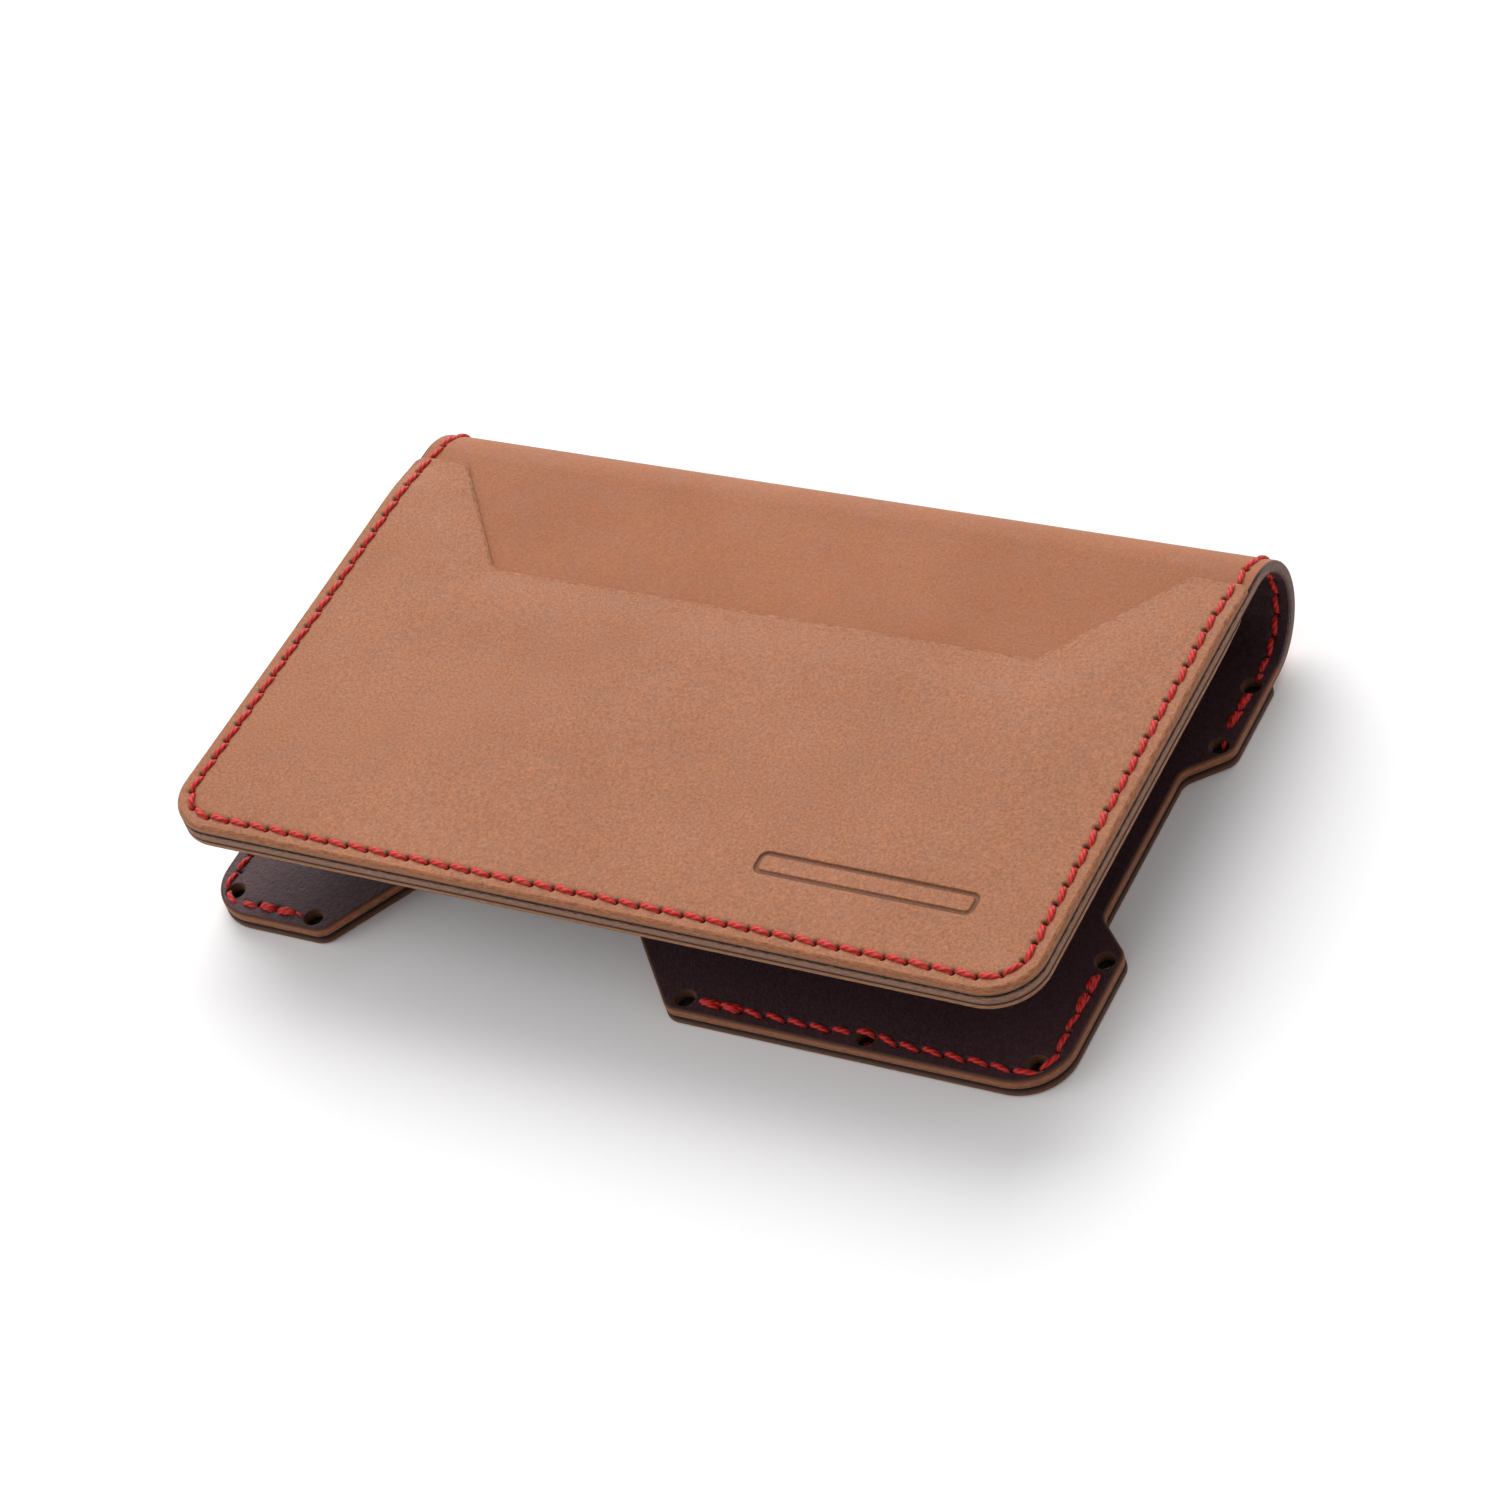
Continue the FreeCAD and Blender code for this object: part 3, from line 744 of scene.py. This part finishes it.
def finish_piece(bm, name, finishes, slot, node):
    """Turns the mesh to metres and makes it an object with its materials, in place of a CAD node."""
    if slot != "thread":
        bmesh.ops.dissolve_degenerate(bm, dist=SLIVER, edges=bm.edges)
        bmesh.ops.recalc_face_normals(bm, faces=bm.faces)
    for edge in bm.edges:
        kinds = {face.material_index for face in edge.link_faces}
        crease = len(edge.link_faces) == 2 and edge.calc_face_angle() > CREASE_ANGLE
        edge.smooth = not crease and not (CUT_EDGE in kinds and len(kinds) > 1)
    for face in bm.faces:
        face.smooth = True
    bmesh.ops.scale(bm, vec=(MM, MM, MM), verts=bm.verts)
    mesh = bpy.data.meshes.new(name)
    bm.to_mesh(mesh)
    bm.free()
    for finish in finishes:
        mesh.materials.append(material_for(finish))
    piece = bpy.data.objects.new(name, mesh)
    bpy.context.scene.collection.objects.link(piece)
    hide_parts(node)
    return piece


def mirrored(corners):
    return [(-x, y, radius) for x, y, radius in reversed(corners)]


def front_outline(top_y, top_r):
    right = [(HALF_WIDTH, MOUTH_Y, CORNER_R), (HALF_WIDTH, top_y, top_r)]
    return right + mirrored(right)


def pocket_outline():
    floor_y = POCKET_TOP_Y - THUMB_DEPTH
    right = [(HALF_WIDTH, MOUTH_Y, CORNER_R), (HALF_WIDTH, POCKET_TOP_Y, STOP_CORNER_R),
             (THUMB_TOP_X, POCKET_TOP_Y, THUMB_LIP_R), (THUMB_FLOOR_X, floor_y, THUMB_FLOOR_R)]
    return right + mirrored(right)


def back_outline(top_y, top_r):
    notch_x = HALF_WIDTH - SIDE_NOTCH_DEPTH
    low_y, high_y = MOUTH_Y + SIDE_NOTCH_LOW, MOUTH_Y + SIDE_NOTCH_HIGH
    right = [(HALF_WIDTH, MOUTH_Y, CORNER_R), (HALF_WIDTH, low_y, NOTCH_R),
             (notch_x, low_y + SIDE_NOTCH_SLANT, NOTCH_R), (notch_x, high_y - SIDE_NOTCH_SLANT, NOTCH_R),
             (HALF_WIDTH, high_y, NOTCH_R), (HALF_WIDTH, top_y, top_r)]
    mouth = [(x, MOUTH_Y + up, NOTCH_R) for x, up in MOUTH_NOTCH]
    return right + mirrored(right) + mouth


def screw_holes():
    corner = SEAM_CORNER_R * (1 - math.sqrt(0.5))
    places = [(x, SEAM_Y) for x in MOUTH_HOLES_X]
    for side in (-1, 1):
        places.append((side * (SEAM_X - corner), SEAM_Y + corner))
        places += [(side * SEAM_X, FOLD_Y - back) for back in HOLES_BACK_FROM_FOLD]
    return places


def clear_stretches(seam, first, last):
    """The stretches of a seam between two distances that stay clear of the screw holes."""
    step, stretches, start = 0.05, [], None
    count = int((last - first) / step)
    for index in range(count + 1):
        distance = first + index * step
        point = seam.path.at(distance)
        clear = all(math.hypot(point.x - x, point.y - y) > HOLE_R + HOLE_CLEARANCE / 2
                    for x, y in screw_holes())
        if clear and start is None:
            start = distance
        if start is not None and (not clear or index == count):
            if distance - start > 1.0:
                stretches.append((start, distance))
            start = None
    return stretches


def back_bands(pit_depth, groove_depth, top_limit):
    """Seams of one face of the back leaf, as leather_sheet takes them."""
    limits = [(seam, 0.0, seam.path.length) for seam in (RIGHT_TAB_SEAM, LEFT_TAB_SEAM)]
    limits += [(seam, PITCH / 2 + top_limit, seam.path.length + 0.5) for seam in END_SEAMS.values()]
    return [(seam, start, end, pit_depth, groove_depth) for seam, low, high in limits
            for start, end in clear_stretches(seam, low, high)]


# ---- shapes of the front leaf


def leaf_wave(x, y):
    """Slow rise and fall of the front leaf, none at the fold."""
    height = bpy.context.scene.holder_sizes.wave / MM
    away = smooth_step((FOLD_Y - y) / 25.0)
    cross = math.sin(x / 17.0 + 0.6) * math.cos(y / 21.0)
    return away * height * (cross + 0.6 * math.sin(x / 31.0 - y / 13.0))


def edge_distance(x, y):
    """Distance from a point to the pocket's upper edge, cut-out included."""
    floor_y = POCKET_TOP_Y - THUMB_DEPTH
    line = [(HALF_WIDTH + 5, POCKET_TOP_Y), (THUMB_TOP_X, POCKET_TOP_Y), (THUMB_FLOOR_X, floor_y),
            (-THUMB_FLOOR_X, floor_y), (-THUMB_TOP_X, POCKET_TOP_Y), (-HALF_WIDTH - 5, POCKET_TOP_Y)]
    here = Vector((x, y))
    best = 1e9
    for start, end in zip(line, line[1:]):
        start, end = Vector(start), Vector(end)
        run = end - start
        share = min(1.0, max(0.0, (here - start).dot(run) / run.length_squared))
        best = min(best, (here - start - run * share).length)
    return best


def pocket_top(x, y):
    """Height of the pocket's face: thinned from below at its upper edge, so that it lies lower there."""
    lip = bpy.context.scene.holder_sizes.lip_thickness / MM
    full = POCKET_HIGH.z - POCKET_LOW.z
    thin = (full - lip) * (1 - smooth_step(edge_distance(x, y) / SKIVE_WIDTH))
    return POCKET_HIGH.z - thin + leaf_wave(x, y)


def front_body_top(x, y):
    return FRONT_POCKET_Z + leaf_wave(x, y)


def front_body_bottom(x, y):
    return FRONT_BODY_Z + leaf_wave(x, y)


def lining_bottom(x, y):
    thin = (LINING_HIGH.z - LINING_LOW.z - 0.15) * (1 - smooth_step((LINING_TOP_Y - y) / SKIVE_WIDTH))
    return LINING_LOW.z + thin + leaf_wave(x, y)


def level(z):
    return lambda x, y: z


# ---- spine


def bend_point(x, along, through_mm):
    """Point of the spine: along it from the back leaf, and in from its outer face."""
    radius = SPINE_R + BODY_T / 2 - through_mm
    angle = along / SPINE_R
    return Vector((x, FOLD_Y + radius * math.sin(angle), SPINE_Z - radius * math.cos(angle)))


def spine_piece(index, rounding, pit_depth, groove_depth):
    """The leather round one bend line, closed on all sides, with a finer net along both seams."""
    bm = new_sheet()
    side = [SEAM_X + row for row in BAND_ROWS] + [HALF_WIDTH - 0.45, HALF_WIDTH]
    columns = sorted([-x for x in side] + [-44 + 8 * step for step in range(12)] + side)
    bmesh.ops.create_grid(bm, x_segments=len(columns) - 1, y_segments=SPINE_ROWS, size=1.0)
    for vert in bm.verts:
        x = columns[round((vert.co.x + 1) / 2 * (len(columns) - 1))]
        vert.co = (x, (vert.co.y + 1) / 2 * PITCH, 0.0)
    for face in bm.faces:
        face.material_index = OUTER_FACE
    out = bmesh.ops.extrude_face_region(bm, geom=bm.faces[:])["geom"]
    bmesh.ops.translate(bm, vec=(0, 0, BODY_T), verts=of_kind(out, bmesh.types.BMVert))
    bmesh.ops.recalc_face_normals(bm, faces=bm.faces)
    for face in bm.faces:
        if face.normal.z > 0.9:
            face.material_index = INNER_FACE
        elif face.normal.z > -0.9:
            face.material_index = CUT_EDGE
    rims = [edge for edge in bm.edges if all(abs(abs(v.co.x) - HALF_WIDTH) < 1e-5 for v in edge.verts)
            and abs(edge.verts[0].co.y - edge.verts[1].co.y) > 1e-5
            and abs(edge.verts[0].co.z - edge.verts[1].co.z) < 1e-5]
    bevel(bm, rims, rounding, 4, material=CUT_EDGE)
    pit, through = bm.verts.layers.float["pit"], bm.verts.layers.float["through"]
    for vert in bm.verts:
        x, along, depth = vert.co
        vert[through] = depth / BODY_T
        across = abs(x) - SEAM_X
        dip = hole_dip(along - PITCH / 2, across, 0.0)
        groove = math.exp(-(across / GROOVE_WIDTH) ** 2)
        push = dip * pit_depth + groove * groove_depth
        # pit: painted shade in the needle holes
        vert[pit] = min(1.0, 1.25 * dip)
        if depth < 1e-4:
            depth += push
        elif depth > BODY_T - 1e-4:
            depth -= push
        vert.co = bend_point(x, (index - 1) * PITCH + along, depth)
    return bm


# ---- thread


def stitch_blank():
    """Plain tube with closed ends that every stitch is bent from."""
    bm = bmesh.new()
    bmesh.ops.create_cone(bm, cap_ends=True, cap_tris=False, segments=THREAD_SIDES, radius1=1.0,
                          radius2=1.0, depth=2.0)
    long_edges = [edge for edge in bm.edges if abs(edge.verts[0].co.z - edge.verts[1].co.z) > 1]
    bmesh.ops.subdivide_edges(bm, edges=long_edges, cuts=len(STITCH_SECTIONS) - 2, use_grid_fill=True)
    mesh = bpy.data.meshes.new("stitch_blank")
    bm.to_mesh(mesh)
    bm.free()
    return mesh


def add_stitch(bm, blank, place, first, last, width, height, slant, shift=0.0, lift=0.0,
               detour=lambda along: 0.0):
    """Bends a copy of the blank into one stitch, from needle hole to needle hole.

    place turns (along the seam, across it, up from the leather) into a point.
    """
    ply = bm.verts.layers.float_vector["ply"]
    known, known_faces = len(bm.verts), len(bm.faces)
    bm.from_mesh(blank)
    here = place(first, 0.0, 0.0)
    ways = [place(*spot) - here for spot in ((first + 0.1, 0.0, 0.0), (first, 0.1, 0.0), (first, 0.0, 0.1))]
    if ways[0].cross(ways[1]).dot(ways[2]) < 0:
        bmesh.ops.reverse_faces(bm, faces=bm.faces[:][known_faces:])
    sections = len(STITCH_SECTIONS) - 1
    for vert in bm.verts[:][known:]:
        share = STITCH_SECTIONS[round((vert.co.z + 1) / 2 * sections)]
        angle = math.atan2(vert.co.y, vert.co.x)
        end = abs(2 * share - 1)
        thin = 1.0 - 0.42 * end ** 3
        along = first + (last - first) * (0.03 + 0.94 * share)
        lean = math.tan(slant) * (along - (first + last) / 2)
        across = lean + shift + detour(along) + math.cos(angle) * width / 2 * thin
        up = lift + 0.08 - 0.5 * end ** 4 + math.sin(angle) * height / 2 * thin
        vert.co = place(along, across, up)
        vert[ply] = (math.cos(angle), math.sin(angle), along)


def new_thread():
    bm = bmesh.new()
    bm.verts.layers.float_vector.new("ply")
    return bm


def on_leaf(seam, surface, upward):
    """Placing function for stitches on a leaf: surface gives the leather's height."""
    def place(along, across, up):
        point = seam.path.at(along, across)
        return Vector((point.x, point.y, surface(point.x, point.y) + (up if upward else -up)))
    return place


def sew(bm, blank, seam, place, first, last, seed, tacks=(), lift=0.0):
    """Adds the stitches between two needle holes, counted from 0; tacks are sewn over three times."""
    seams = bpy.context.scene.holder_seams
    width, height = seams.thread_width / MM, seams.thread_height / MM
    draw = random.Random(seed)
    for index in range(first, last):
        start, end = seam.holes[index], seam.holes[index + 1]
        slant = seams.slant * draw.uniform(0.7, 1.25) * seam.lean(start)
        if index in tacks:
            for shift, rise in ((-0.2, 0.0), (0.22, 0.0), (0.02, 0.14 if lift == 0.0 else 0.0)):
                add_stitch(bm, blank, place, start + draw.uniform(-0.2, 0.25),
                           end + draw.uniform(-0.25, 0.2), width * draw.uniform(0.8, 1.0), height,
                           seams.slant * draw.uniform(-1.1, 1.1), shift, lift + rise, seam.detour)
        else:
            add_stitch(bm, blank, place, start, end, width * draw.uniform(0.94, 1.06), height, slant,
                       draw.uniform(-0.03, 0.03), lift, seam.detour)


# ---- operators


def ride_leather(bm, name, slot, face, inside, edge, node, body):
    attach(finish_piece(bm, name, (face, inside, edge), slot, node), body)


def ride_thread(bm, name, node, body="back_leaf"):
    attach(finish_piece(bm, name, ("red_thread",), "thread", node), body)


def chosen(scene):
    """Edge rounding, needle hole depth and groove depth, in millimetres."""
    sizes, seams = scene.holder_sizes, scene.holder_seams
    return sizes.edge_round / MM, seams.pit_depth / MM, seams.groove_depth / MM


class HOLDER_OT_back_leaf(bpy.types.Operator):
    """Makes the two sheets of the back leaf, with their notches and screw holes"""

    bl_idname = "holder.back_leaf"
    bl_label = "Back leaf"

    def execute(self, context):
        rounding, pit, groove = chosen(context.scene)
        bm = leather_sheet(back_outline(FOLD_Y, 0.0), BACK_BODY_Z, BACK_INNER_Z, rounding, BACK_CELL, False,
                           holes=screw_holes(), upper=back_bands(pit, groove, 0.3), square_end=FOLD_Y)
        ride_leather(bm, "back_sheet", "body_leather", "oiled_nubuck_body", "dyed_inside", "back_cut_edge",
                     "back_body", "back_leaf")
        bm = leather_sheet(back_outline(PANEL_TOP_Y, STOP_CORNER_R), PANEL_LOW.z, PANEL_HIGH.z, rounding,
                           BACK_CELL, False, holes=screw_holes(),
                           lower=back_bands(pit * 0.8, PANEL_GROOVE_DEPTH, 1.6))
        ride_leather(bm, "outer_panel", "outer_leather", "oiled_nubuck_pocket", "dyed_inside",
                     "panel_cut_edge", "back_outer_panel", "back_leaf")
        return {"FINISHED"}


class HOLDER_OT_spine(bpy.types.Operator):
    """Makes the leather of the spine, one piece round each bend line"""

    bl_idname = "holder.spine"
    bl_label = "Spine"

    def execute(self, context):
        bodies = ["back_leaf"] + ["spine_%d" % index for index in range(1, BENDS)] + ["front_leaf"]
        for index in range(1, BENDS + 1):
            bm = spine_piece(index, *chosen(context.scene))
            piece = finish_piece(bm, "spine_leather_%d" % index,
                                 ("oiled_nubuck_body", "dyed_inside", "body_cut_edge"),
                                 "body_leather", "spine_strip_%d" % min(index, BENDS - 1))
            start, end = (bend_point(0.0, along * PITCH, BODY_T / 2) * MM for along in (index - 1, index))
            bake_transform(piece, bodies[index - 1], bodies[index], start=start, end=end)
        return {"FINISHED"}


class HOLDER_OT_front_leaf(bpy.types.Operator):
    """Makes the front sheet, the pocket with its thumb cut-out, and the lining"""

    bl_idname = "holder.front_leaf"
    bl_label = "Front leaf"

    def execute(self, context):
        rounding, pit, groove = chosen(context.scene)
        whole = FRONT_SEAM.path.length
        bm = leather_sheet(front_outline(FOLD_Y, 0.0), FRONT_BODY_Z, FRONT_POCKET_Z, rounding, FRONT_CELL,
                           True, (front_body_bottom, front_body_top), square_end=FOLD_Y)
        ride_leather(bm, "front_sheet", "body_leather", "oiled_nubuck_body", "dyed_inside", "body_cut_edge",
                     "front_body", "front_leaf")
        start = PITCH / 2 + (FOLD_Y - POCKET_TOP_Y) + 0.6
        bm = leather_sheet(pocket_outline(), POCKET_LOW.z, POCKET_HIGH.z, rounding, POCKET_CELL, True,
                           (front_body_top, pocket_top),
                           upper=((FRONT_SEAM, start, whole - start, pit, groove),), mark=True,
                           upper_round=context.scene.holder_sizes.pocket_round / MM)
        ride_leather(bm, "thumb_pocket", "outer_leather", "oiled_nubuck_pocket", "dyed_inside",
                     "pocket_cut_edge", "front_pocket", "front_leaf")
        start = PITCH / 2 + (FOLD_Y - LINING_TOP_Y) + 0.5
        bm = leather_sheet(front_outline(LINING_TOP_Y, STOP_CORNER_R), LINING_LOW.z, LINING_HIGH.z,
                           LINING_ROUND, FRONT_CELL, False, (lining_bottom, front_body_bottom),
                           lower=((FRONT_SEAM, start, whole - start, LINING_PIT_DEPTH, groove),))
        ride_leather(bm, "lining", "lining_leather", "dyed_inside", "dyed_inside", "lining_cut_edge",
                     "front_lining", "front_leaf")
        return {"FINISHED"}


class HOLDER_OT_long_seam(bpy.types.Operator):
    """Sews the long seam round the front leaf and over the spine"""

    bl_idname = "holder.long_seam"
    bl_label = "Long seam"

    def execute(self, context):
        blank = stitch_blank()

        def upper(x, y):
            off = smooth_step((y - POCKET_TOP_Y) / 1.1)
            return pocket_top(x, y) * (1 - off) + front_body_top(x, y) * off

        def under(x, y):
            return lining_bottom(x, y) if y < LINING_TOP_Y else front_body_bottom(x, y)

        for name, surface, upward, node, seed in (
                ("long_seam_needle_thread", upper, True, "front_seam_outer", 3),
                ("long_seam_bobbin_thread", under, False, "front_seam_inner", 4)):
            bm = new_thread()
            sew(bm, blank, FRONT_SEAM, on_leaf(FRONT_SEAM, surface, upward), 0, FRONT_SEAM.count, seed)
            ride_thread(bm, name, node, "front_leaf")
        strip = Seam(SeamPath((0, 0), 0, [(PITCH, 0)]), 1)
        for index in range(1, BENDS):
            bm = new_thread()
            for side in (-1, 1):
                for outside in (True, False):
                    def place(along, across, up):
                        depth = -up if outside else BODY_T + up
                        return bend_point(side * SEAM_X + across, (index - 0.5) * PITCH + along, depth)
                    sew(bm, blank, strip, place, 0, 1, 10 * index + side + 2 * outside)
            ride_thread(bm, "spine_thread_%d" % index, "spine_seam_%d" % index, "spine_%d" % index)
        bpy.data.meshes.remove(blank)
        return {"FINISHED"}


class HOLDER_OT_back_seams(bpy.types.Operator):
    """Sews the corner seams of the back leaf and the ends of the long seam"""

    bl_idname = "holder.back_seams"
    bl_label = "Back leaf seams"

    def execute(self, context):
        blank = stitch_blank()
        inside, between, outside = level(BACK_INNER_Z), level(BACK_BODY_Z), level(0.0)
        for name, seam, tacks, seed in (("right", RIGHT_TAB_SEAM, (0, 1, 18, 19), 21),
                                        ("left", LEFT_TAB_SEAM, (0, 1, 7, 8), 22)):
            bm, place = new_thread(), on_leaf(seam, inside, True)
            sew(bm, blank, seam, place, 0, seam.count, seed, tacks)
            if name == "left":
                add_stitch(bm, blank, place, *LOOSE_END_LEFT, 0.34, 0.3, math.radians(-14), 0.05)
            ride_thread(bm, name + "_corner_inner_thread", "back_%s_seam_inner" % name)
            bm, place = new_thread(), on_leaf(seam, outside, False)
            sew(bm, blank, seam, place, 0, seam.count, seed + 10, tacks, UNDER_LIFT)
            ride_thread(bm, name + "_corner_outer_thread", "back_%s_seam_outer" % name)
        inner, outer = new_thread(), new_thread()
        for side, seam in END_SEAMS.items():
            place = on_leaf(seam, inside, True)
            sew(inner, blank, seam, place, 0, 2, 50 + side)
            sew(inner, blank, seam, place, 3, 5, 55 + side, (3, 4))
            sew(outer, blank, seam, on_leaf(seam, between, False), 0, 1, 60 + side)
            sew(outer, blank, seam, on_leaf(seam, outside, False), 3, 5, 70 + side, (3, 4), UNDER_LIFT)
            if side > 0:
                add_stitch(inner, blank, place, *LOOSE_END_RIGHT, 0.5, 0.4, 0.0, 0.25, -0.35)
        ride_thread(inner, "seam_end_inner_thread", "back_end_seam_inner")
        ride_thread(outer, "seam_end_outer_thread", "back_end_seam_outer")
        bpy.data.meshes.remove(blank)
        return {"FINISHED"}


class HOLDER_OT_studio(bpy.types.Operator):
    """Makes the floor, the soft lights and the camera"""

    bl_idname = "holder.studio"
    bl_label = "Studio"

    def execute(self, context):
        scene, studio = context.scene, context.scene.holder_studio
        bm = bmesh.new()
        bmesh.ops.create_grid(bm, x_segments=8, y_segments=8, size=3.0)
        bmesh.ops.translate(bm, vec=(0, 0, FLOOR_Z), verts=bm.verts)
        mesh = bpy.data.meshes.new("studio_floor")
        bm.to_mesh(mesh)
        bm.free()
        mesh.materials.append(studio_floor("seamless_paper", tuple(studio.floor)))
        floor = bpy.data.objects.new("studio_floor", mesh)
        scene.collection.objects.link(floor)
        for name, place, size, power in (("key", (-0.45, 0.84, 0.8), 1.15, studio.key_power),
                                         ("fill", (-0.9, -0.5, 0.5), 0.8, studio.fill_power)):
            lamp = bpy.data.lights.new(name, "AREA")
            lamp.size, lamp.energy = size, power
            light = bpy.data.objects.new(name, lamp)
            light.location = place
            light.rotation_euler = (-Vector(place)).to_track_quat("-Z", "Y").to_euler()
            scene.collection.objects.link(light)
        scene.world = bpy.data.worlds.new("studio_sky")
        scene.world.use_nodes = True
        sky = scene.world.node_tree.nodes["Background"].inputs
        sky["Color"].default_value = (1.0, 1.0, 1.0, 1.0)
        sky["Strength"].default_value = studio.sky
        camera = bpy.data.objects.new("camera", bpy.data.cameras.new("camera"))
        camera.data.lens = studio.lens
        camera.data.sensor_width = 36.0
        camera.data.clip_start = 0.01
        right, up = Vector(CAMERA_RIGHT), Vector(CAMERA_UP)
        turn = Matrix((right, up, right.cross(up))).transposed().to_4x4()
        camera.matrix_world = Matrix.Translation(Vector(CAMERA_PLACE) * MM) @ turn
        scene.collection.objects.link(camera)
        scene.camera = camera
        scene.view_settings.view_transform = "Standard"
        return {"FINISHED"}


class HOLDER_PT_panel(bpy.types.Panel):
    """Lists the steps that build the card holder"""

    bl_idname = "HOLDER_PT_panel"
    bl_label = "Card holder"
    bl_space_type = "VIEW_3D"
    bl_region_type = "UI"
    bl_category = "Card holder"

    def draw(self, context):
        for operator in OPERATORS:
            self.layout.operator(operator.bl_idname)
        for group in GROUPS:
            settings = getattr(context.scene, group)
            for name in settings.bl_rna.properties.keys():
                if name not in ("rna_type", "name"):
                    self.layout.prop(settings, name)


OPERATORS = (HOLDER_OT_back_leaf, HOLDER_OT_spine, HOLDER_OT_front_leaf, HOLDER_OT_long_seam,
             HOLDER_OT_back_seams, HOLDER_OT_studio)
GROUPS = {"holder_sizes": HolderSizes, "holder_seams": HolderSeams, "holder_colours": HolderColours,
          "holder_studio": HolderStudio}


def register():
    for cls in (*GROUPS.values(), *OPERATORS, HOLDER_PT_panel):
        bpy.utils.register_class(cls)
    for name, cls in GROUPS.items():
        setattr(bpy.types.Scene, name, bpy.props.PointerProperty(type=cls))


def unregister():
    for name in GROUPS:
        delattr(bpy.types.Scene, name)
    for cls in (HOLDER_PT_panel, *reversed(OPERATORS), *GROUPS.values()):
        bpy.utils.unregister_class(cls)


def main():
    register()
    bpy.ops.holder.back_leaf()
    bpy.ops.holder.spine()
    bpy.ops.holder.front_leaf()
    bpy.ops.holder.long_seam()
    bpy.ops.holder.back_seams()
    bpy.ops.holder.studio()


if __name__ == "__main__":
    main()
